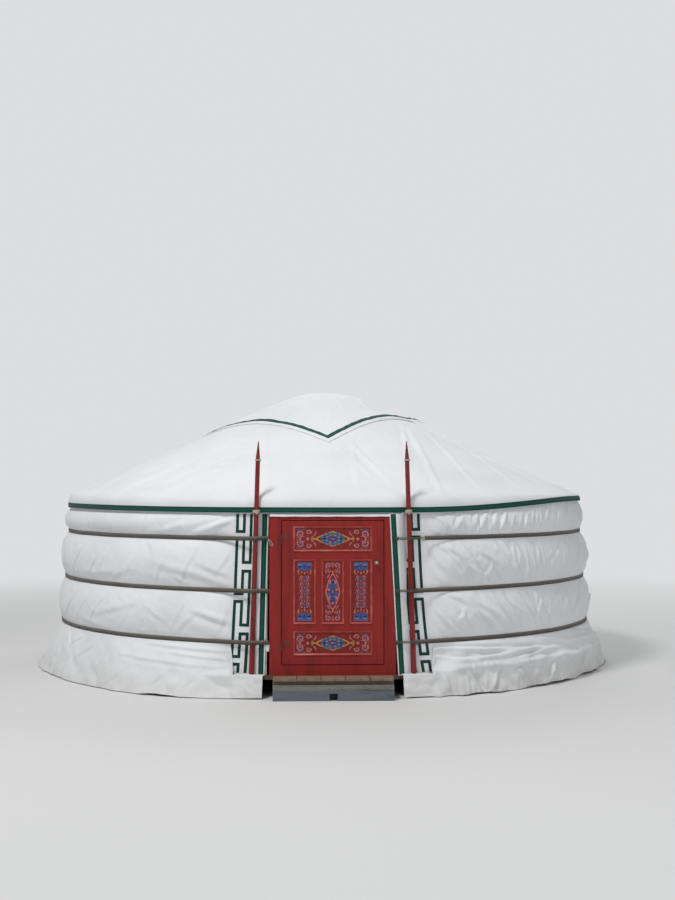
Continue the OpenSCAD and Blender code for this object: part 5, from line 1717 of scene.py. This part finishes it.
def stitch_tree():
    """Stitches spaced along a line of points, each a small bar of thread that follows the line."""
    tree = bpy.data.node_groups.new("stitch_row", "GeometryNodeTree")
    put = node_inputs(tree, ("Line", "Geometry", None), ("Spacing", "Float", 0.014), ("Length", "Float", 0.008),
                      ("Thickness", "Float", 0.0014), ("Seed", "Int", 1), ("Thread", "Material", None))
    curve = add(tree, "GeometryNodeMeshToCurve", {"Mesh": put["Line"]}).outputs[0]
    spaced = add(tree, "GeometryNodeResampleCurve", {"Curve": curve, "Length": put["Spacing"]}, mode="LENGTH")
    way = add(tree, "GeometryNodeInputTangent").outputs["Tangent"]
    turned = add(tree, "FunctionNodeAlignRotationToVector", {"Vector": way}, axis="X").outputs["Rotation"]
    vary = add(tree, "FunctionNodeRandomValue", {2: 0.85, 3: 1.1, 8: put["Seed"]}, data_type="FLOAT").outputs[1]
    long = add(tree, "ShaderNodeMath", {0: put["Length"], 1: vary}, operation="MULTIPLY").outputs[0]
    size = add(tree, "ShaderNodeCombineXYZ", {"X": long, "Y": put["Thickness"], "Z": put["Thickness"]}).outputs[0]
    bar = add(tree, "GeometryNodeMeshCylinder", {"Vertices": 5, "Radius": 0.5, "Depth": 1.0}).outputs["Mesh"]
    lying = add(tree, "GeometryNodeTransform", {"Geometry": bar, "Rotation": (0, math.pi / 2, 0)}).outputs[0]
    rows = add(tree, "GeometryNodeInstanceOnPoints", {"Points": spaced.outputs[0], "Instance": lying,
                                                      "Rotation": turned, "Scale": size}).outputs[0]
    end_tree(tree, rows, put["Thread"])
    return tree


def tie_tree():
    """Leather knots on points of the lattice: a flat bead on each, turned by chance about the way out."""
    tree = bpy.data.node_groups.new("lattice_tie", "GeometryNodeTree")
    put = node_inputs(tree, ("Crossings", "Geometry", None), ("Size", "Float", 0.016), ("Height", "Float", 0.007),
                      ("Seed", "Int", 1), ("Leather", "Material", None))
    place = add(tree, "GeometryNodeInputPosition").outputs[0]
    flat = add(tree, "ShaderNodeVectorMath", {0: place, 1: (1, 1, 0)}, operation="MULTIPLY").outputs[0]
    out = add(tree, "FunctionNodeAlignRotationToVector", {"Vector": flat}, axis="X").outputs["Rotation"]
    spin = add(tree, "FunctionNodeRandomValue", {2: 0.0, 3: 3.1, 8: put["Seed"]}, data_type="FLOAT").outputs[1]
    about = add(tree, "FunctionNodeAxisAngleToRotation", {"Axis": (1, 0, 0), "Angle": spin}).outputs[0]
    turned = add(tree, "FunctionNodeRotateRotation", {"Rotation": out, "Rotate By": about},
                 rotation_space="LOCAL").outputs[0]
    long = add(tree, "ShaderNodeMath", {0: put["Size"], 1: 1.5}, operation="MULTIPLY").outputs[0]
    size = add(tree, "ShaderNodeCombineXYZ", {"X": put["Height"], "Y": long, "Z": put["Size"]}).outputs[0]
    bead = add(tree, "GeometryNodeMeshIcoSphere", {"Radius": 0.5, "Subdivisions": 2}).outputs["Mesh"]
    rows = add(tree, "GeometryNodeInstanceOnPoints", {"Points": put["Crossings"], "Instance": bead,
                                                      "Rotation": turned, "Scale": size}).outputs[0]
    end_tree(tree, rows, put["Leather"])
    return tree


def grow(name, lines, tree, closed=False, joined=True, **inputs):
    """Runs a node tree over lines or loose points and keeps the result as a plain mesh."""
    verts, edges = [], []
    for line in lines:
        first = len(verts)
        verts += [tuple(p) for p in line]
        if joined:
            edges += [(first + i, first + i + 1) for i in range(len(line) - 1)]
            if closed:
                edges.append((len(verts) - 1, first))
    seed_mesh = bpy.data.meshes.new(name)
    seed_mesh.from_pydata(verts, edges, [])
    obj = new_object(name, seed_mesh)
    modifier = obj.modifiers.new("repeat", "NODES")
    modifier.node_group = tree
    for item in tree.interface.items_tree:
        if item.in_out == "INPUT" and item.name in inputs:
            modifier[item.identifier] = inputs[item.name]
    grown = bpy.data.meshes.new_from_object(obj.evaluated_get(bpy.context.evaluated_depsgraph_get()))
    if not grown.polygons:
        raise RuntimeError(f"{name}: the node tree made nothing")
    obj.modifiers.clear()
    obj.data = grown
    grown.name = name
    return obj


def make_ties():
    """Leather ties at the crossings of the lattice, on the side of the room."""
    heads, rows, sections = 48, 6, 8
    door_az = math.degrees(math.asin(EDGE_X / 2.8694)) + 0.45
    step = (360 - 2 * door_az) / heads
    foot, head = FLOOR_Z + 0.0004, FLOOR_Z + 1.5 + 0.115
    spots = []
    for section in range(sections):
        first = door_az + section * (heads // sections) * step
        for m in range(1, rows):
            shift = (m - rows / 2) / 2 + 0.5 - rows / 4
            z = foot + (head - foot) * m / rows
            r = wall_line(z) - COVER_T - 0.006 - 0.012 - 0.0115 - 0.001
            for k in range(-rows, heads // sections + rows):
                place = k + shift
                if 0.3 < place < heads // sections - 0.3 and abs(place - heads // sections / 2) > 0.2:
                    spots.append((*out_at(first + place * step, r), z))
    obj = grow("lattice_ties", [spots], tie_tree(), joined=False, Size=sizes().lattice_tie, Height=0.007, Seed=4,
               Leather=finish("leather"))
    keep_on(obj, HOUSE, "lattice_timber")


def make_stitches():
    """Rows of stitches along the eave band, the crown tape and the tapes beside the door."""
    tree = stitch_tree()
    thread = finish("thread")
    turn = np.linspace(-180, 180, 360, endpoint=False)
    eave = [around(turn, eave_r(z) + 0.0036, z) for z in (BAND_Z + eave_rise(turn) + off
                                                          for off in (0.006, sizes().band_width - 0.006))]
    obj = grow("stitches_eave", eave, tree, closed=True, Spacing=sizes().stitch_spacing, Length=sizes().stitch_length,
               Seed=2, Thread=thread)
    keep_on(obj, HOUSE, "green_trim")
    rows = []
    for inset in (0.050, 0.090):
        half = CROWN_SIDE / 2 - inset
        side = np.linspace(-half, half, 80)[:-1]
        u = np.concatenate([side, 0 * side + half, -side, 0 * side - half])
        v = np.concatenate([0 * side - half, side, 0 * side + half, -side])
        rows.append(crown_surface(u, v) + np.array([0, 0, 0.0022]))
    obj = grow("stitches_crown", rows, tree, closed=True, Seed=3, Thread=thread)
    keep_on(obj, HOUSE, "green_trim")
    rows = []
    heights = np.linspace(FLOOR_Z + 0.02, 1.705, 120)
    for side in (-1, 1):
        for off in (0.014, 0.054):
            rows.append(flap_point(side, edge_x(side, heights) + off, heights) + np.array([0, -0.0031, 0]))
    obj = grow("stitches_edges", rows, tree, Seed=5, Thread=thread)
    keep_on(obj, HOUSE, "green_trim")


# ---- stage


BACKDROP = "#DDDEDF"


def make_stage():
    """Pale floor and backdrop, soft lamps and the camera at the picture's angle."""
    scene = bpy.context.scene
    scene.view_settings.view_transform = "Standard"
    material = bpy.data.materials.new("pale_floor")
    material.use_nodes = True
    tree = material.node_tree
    shader = tree.nodes["Principled BSDF"]
    shader.inputs["Base Color"].default_value = linear("#DADAD8")
    shader.inputs["Roughness"].default_value = 0.9
    # Far from the object the floor takes the backdrop's own colour, for rays that are seen
    spot = add(tree, "ShaderNodeTexCoord").outputs["Object"]
    far = add(tree, "ShaderNodeVectorMath", {0: spot}, operation="LENGTH").outputs["Value"]
    fade = add(tree, "ShaderNodeMapRange", {"Value": far, "From Min": 4.0, "From Max": 15.0},
               interpolation_type="SMOOTHSTEP").outputs["Result"]
    path = add(tree, "ShaderNodeLightPath").outputs
    seen = add(tree, "ShaderNodeMath", {0: path["Is Camera Ray"], 1: path["Is Glossy Ray"]}, operation="MAXIMUM")
    share = add(tree, "ShaderNodeMath", {0: fade, 1: seen.outputs[0]}, operation="MULTIPLY").outputs[0]
    plain = add(tree, "ShaderNodeEmission", {"Color": linear(BACKDROP), "Strength": 1.0})
    both = add(tree, "ShaderNodeMixShader", {0: share, 1: shader.outputs[0], 2: plain.outputs[0]})
    tree.links.new(both.outputs[0], tree.nodes["Material Output"].inputs["Surface"])
    floor = mesh_piece("stage_floor", [(-60, -60, -0.0005), (60, -60, -0.0005), (60, 60, -0.0005), (-60, 60, -0.0005)],
                       [(0, 1, 2, 3)], material, smooth=False)
    world = bpy.data.worlds.new("studio")
    scene.world = world
    world.use_nodes = True
    tree = world.node_tree
    sky = tree.nodes["Background"]
    sky.inputs["Color"].default_value = linear("#F4F6FA")
    sky.inputs["Strength"].default_value = 0.40
    plain = add(tree, "ShaderNodeBackground", {"Color": linear(BACKDROP), "Strength": 1.0})
    path = add(tree, "ShaderNodeLightPath").outputs
    seen = add(tree, "ShaderNodeMath", {0: path["Is Camera Ray"], 1: path["Is Glossy Ray"]}, operation="MAXIMUM")
    seen = add(tree, "ShaderNodeMath", {0: seen.outputs[0], 1: path["Is Transmission Ray"]}, operation="MAXIMUM")
    mixed = add(tree, "ShaderNodeMixShader", {0: seen.outputs[0], 1: sky.outputs[0], 2: plain.outputs[0]})
    tree.links.new(mixed.outputs[0], tree.nodes["World Output"].inputs["Surface"])
    for name, place, aim, size, power in (
        ("key", (-4.2, -8.2, 12.6), (0, -1.0, 1.0), 2.6, 1010),
        ("fill", (8.0, -10.0, 4.0), (0, -1.0, 1.0), 6.0, 120),
        ("rim", (3.0, 10.0, 9.0), (0, 0, 1.5), 6.0, 420),
    ):
        lamp = bpy.data.lights.new(name, "AREA")
        lamp.size, lamp.energy = size, power
        obj = bpy.data.objects.new(name, lamp)
        obj.location = place
        obj.rotation_euler = (Vector(aim) - Vector(place)).to_track_quat("-Z", "Y").to_euler()
        scene.collection.objects.link(obj)
    camera = bpy.data.cameras.new("camera")
    camera.lens, camera.sensor_width, camera.sensor_fit = 54, 36, "AUTO"
    obj = bpy.data.objects.new("camera", camera)
    obj.location = (-0.4076, -15.565, 2.03)
    obj.rotation_euler = (math.radians(91.273), 0, math.radians(-2.04))
    scene.collection.objects.link(obj)
    scene.camera = obj


MATERIAL_OF = {
    "floor_bearers": "beam", "floor_deck": "deck", "step_spacer": "step",
    "step_board": "step", "step_plinth": "plinth", "door_jambs": "door_red", "door_stops": "door_red",
    "door_lintel": "door_red", "door_sill": "door_red", "door_header": "beam", "door_leaf": "door_red",
    "door_panels": "panel_red", "door_hinges": "hinge",
    "frame_hinges": "hinge", "lattice_front_right": "slat", "lattice_back_right": "slat",
    "lattice_back_left": "slat", "lattice_front_left": "slat", "roof_poles_right": "orange",
    "roof_poles_left": "orange", "crown_ring": "orange", "crown_ribs": "orange", "crown_hub": "orange",
    "crown_posts": "orange", "post_heads": "orange", "side_poles": "pole_red",
}


def paint_nodes():
    """Gives every CAD node that stays in view its real finish."""
    for node, kind in MATERIAL_OF.items():
        found = [obj for obj in bpy.data.objects if obj.name.split(".")[0] == node]
        if not found:
            raise RuntimeError(f"{node} is not among the packed pieces")
        for obj in found:
            for slot in obj.material_slots:
                slot.material = finish(kind)
            if not obj.material_slots:
                obj.data.materials.append(finish(kind))


# ---- operators and panel


class YURT_OT_stage(bpy.types.Operator):
    """Pale floor, soft lamps and the camera"""

    bl_idname = "yurt.stage"
    bl_label = "Stage"

    def execute(self, context):
        make_stage()
        return {"FINISHED"}


class YURT_OT_bare_parts(bpy.types.Operator):
    """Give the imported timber, iron and painted parts their real finishes"""

    bl_idname = "yurt.bare_parts"
    bl_label = "Timber and iron finishes"

    def execute(self, context):
        paint_nodes()
        return {"FINISHED"}


class YURT_OT_walls(bpy.types.Operator):
    """Hang the wall canvas, bulging between the belts and creased"""

    bl_idname = "yurt.walls"
    bl_label = "Wall canvas"

    def execute(self, context):
        make_walls()
        return {"FINISHED"}


class YURT_OT_skirts(bpy.types.Operator):
    """Hang the skirt canvas from the lowest belt to the ground"""

    bl_idname = "yurt.skirts"
    bl_label = "Skirt"

    def execute(self, context):
        make_skirts()
        return {"FINISHED"}


class YURT_OT_roofs(bpy.types.Operator):
    """Stretch the roof canvas over the poles and round the eave"""

    bl_idname = "yurt.roofs"
    bl_label = "Roof canvas"

    def execute(self, context):
        make_roofs()
        return {"FINISHED"}


class YURT_OT_linings(bpy.types.Operator):
    """Lay the felt behind the wall canvas and under the roof canvas"""

    bl_idname = "yurt.linings"
    bl_label = "Felt"

    def execute(self, context):
        make_linings()
        return {"FINISHED"}


class YURT_OT_crown(bpy.types.Operator):
    """Drape the square crown cover with its green tape"""

    bl_idname = "yurt.crown"
    bl_label = "Crown cover"

    def execute(self, context):
        make_crown()
        return {"FINISHED"}


class YURT_OT_tapes(bpy.types.Operator):
    """Sew on the eave band and the tapes beside the door"""

    bl_idname = "yurt.tapes"
    bl_label = "Green tapes"

    def execute(self, context):
        make_tapes()
        return {"FINISHED"}


class YURT_OT_belts(bpy.types.Operator):
    """Draw three belts and their cords round the wall"""

    bl_idname = "yurt.belts"
    bl_label = "Belts"

    def execute(self, context):
        make_belts()
        return {"FINISHED"}


class YURT_OT_border(bpy.types.Operator):
    """Sew the green meander beside the door"""

    bl_idname = "yurt.border"
    bl_label = "Border"

    def execute(self, context):
        make_border()
        return {"FINISHED"}


class YURT_OT_fastenings(bpy.types.Operator):
    """Tie the knots, bindings and loops of the belts and poles"""

    bl_idname = "yurt.fastenings"
    bl_label = "Knots and ties"

    def execute(self, context):
        make_fastenings()
        return {"FINISHED"}


class YURT_OT_mouldings(bpy.types.Operator):
    """Frame the door panels with moulded strips"""

    bl_idname = "yurt.mouldings"
    bl_label = "Door mouldings"

    def execute(self, context):
        make_mouldings()
        return {"FINISHED"}


class YURT_OT_knob(bpy.types.Operator):
    """Turn the knob and its rose"""

    bl_idname = "yurt.knob"
    bl_label = "Door knob"

    def execute(self, context):
        make_knob()
        return {"FINISHED"}


class YURT_OT_ornament(bpy.types.Operator):
    """Paint scrolls and medallions on the door panels"""

    bl_idname = "yurt.ornament"
    bl_label = "Door ornament"

    def execute(self, context):
        make_ornament()
        return {"FINISHED"}


class YURT_OT_tiles(bpy.types.Operator):
    """Lay the clay tiles of the threshold"""

    bl_idname = "yurt.tiles"
    bl_label = "Threshold tiles"

    def execute(self, context):
        make_step()
        return {"FINISHED"}


class YURT_OT_boards(bpy.types.Operator):
    """Lay the boards of the round floor"""

    bl_idname = "yurt.boards"
    bl_label = "Floor boards"

    def execute(self, context):
        make_floor()
        return {"FINISHED"}


class YURT_OT_lattice_ties(bpy.types.Operator):
    """Tie the crossings of the lattice with leather"""

    bl_idname = "yurt.lattice_ties"
    bl_label = "Lattice ties"

    def execute(self, context):
        make_ties()
        return {"FINISHED"}


class YURT_OT_stitches(bpy.types.Operator):
    """Sew stitches along the tapes"""

    bl_idname = "yurt.stitches"
    bl_label = "Stitches"

    def execute(self, context):
        make_stitches()
        return {"FINISHED"}


OPERATORS = (
    YURT_OT_stage, YURT_OT_bare_parts, YURT_OT_walls, YURT_OT_skirts,
    YURT_OT_roofs, YURT_OT_linings, YURT_OT_crown, YURT_OT_tapes,
    YURT_OT_belts, YURT_OT_border, YURT_OT_fastenings, YURT_OT_mouldings,
    YURT_OT_knob, YURT_OT_ornament, YURT_OT_tiles, YURT_OT_boards,
    YURT_OT_lattice_ties, YURT_OT_stitches,
)


class YURT_PT_dressing(bpy.types.Panel):
    """Sizes, colours and pieces of the yurt"""

    bl_idname = "YURT_PT_dressing"
    bl_label = "Yurt"
    bl_space_type = "VIEW_3D"
    bl_region_type = "UI"
    bl_category = "Yurt"

    def draw(self, context):
        """Lists the two groups, then a button for each operator."""
        for group in (context.scene.yurt_sizes, context.scene.yurt_colours):
            column = self.layout.column(align=True)
            for key in type(group).__annotations__:
                column.prop(group, key)
        for kind in OPERATORS:
            self.layout.operator(kind.bl_idname)


CLASSES = (YurtSizes, YurtColours, *OPERATORS, YURT_PT_dressing)


def register():
    """Adds the classes and the scene's two groups."""
    for kind in CLASSES:
        bpy.utils.register_class(kind)
    bpy.types.Scene.yurt_sizes = bpy.props.PointerProperty(type=YurtSizes)
    bpy.types.Scene.yurt_colours = bpy.props.PointerProperty(type=YurtColours)


def unregister():
    """Takes them away again."""
    del bpy.types.Scene.yurt_sizes, bpy.types.Scene.yurt_colours
    for kind in reversed(CLASSES):
        bpy.utils.unregister_class(kind)


def main():
    """Makes every piece in order."""
    register()
    bpy.ops.yurt.stage()
    bpy.ops.yurt.bare_parts()
    bpy.ops.yurt.walls()
    bpy.ops.yurt.skirts()
    bpy.ops.yurt.roofs()
    bpy.ops.yurt.linings()
    bpy.ops.yurt.crown()
    bpy.ops.yurt.tapes()
    bpy.ops.yurt.belts()
    bpy.ops.yurt.border()
    bpy.ops.yurt.fastenings()
    bpy.ops.yurt.mouldings()
    bpy.ops.yurt.knob()
    bpy.ops.yurt.ornament()
    bpy.ops.yurt.tiles()
    bpy.ops.yurt.boards()
    bpy.ops.yurt.lattice_ties()
    bpy.ops.yurt.stitches()


if __name__ == "__main__":
    main()
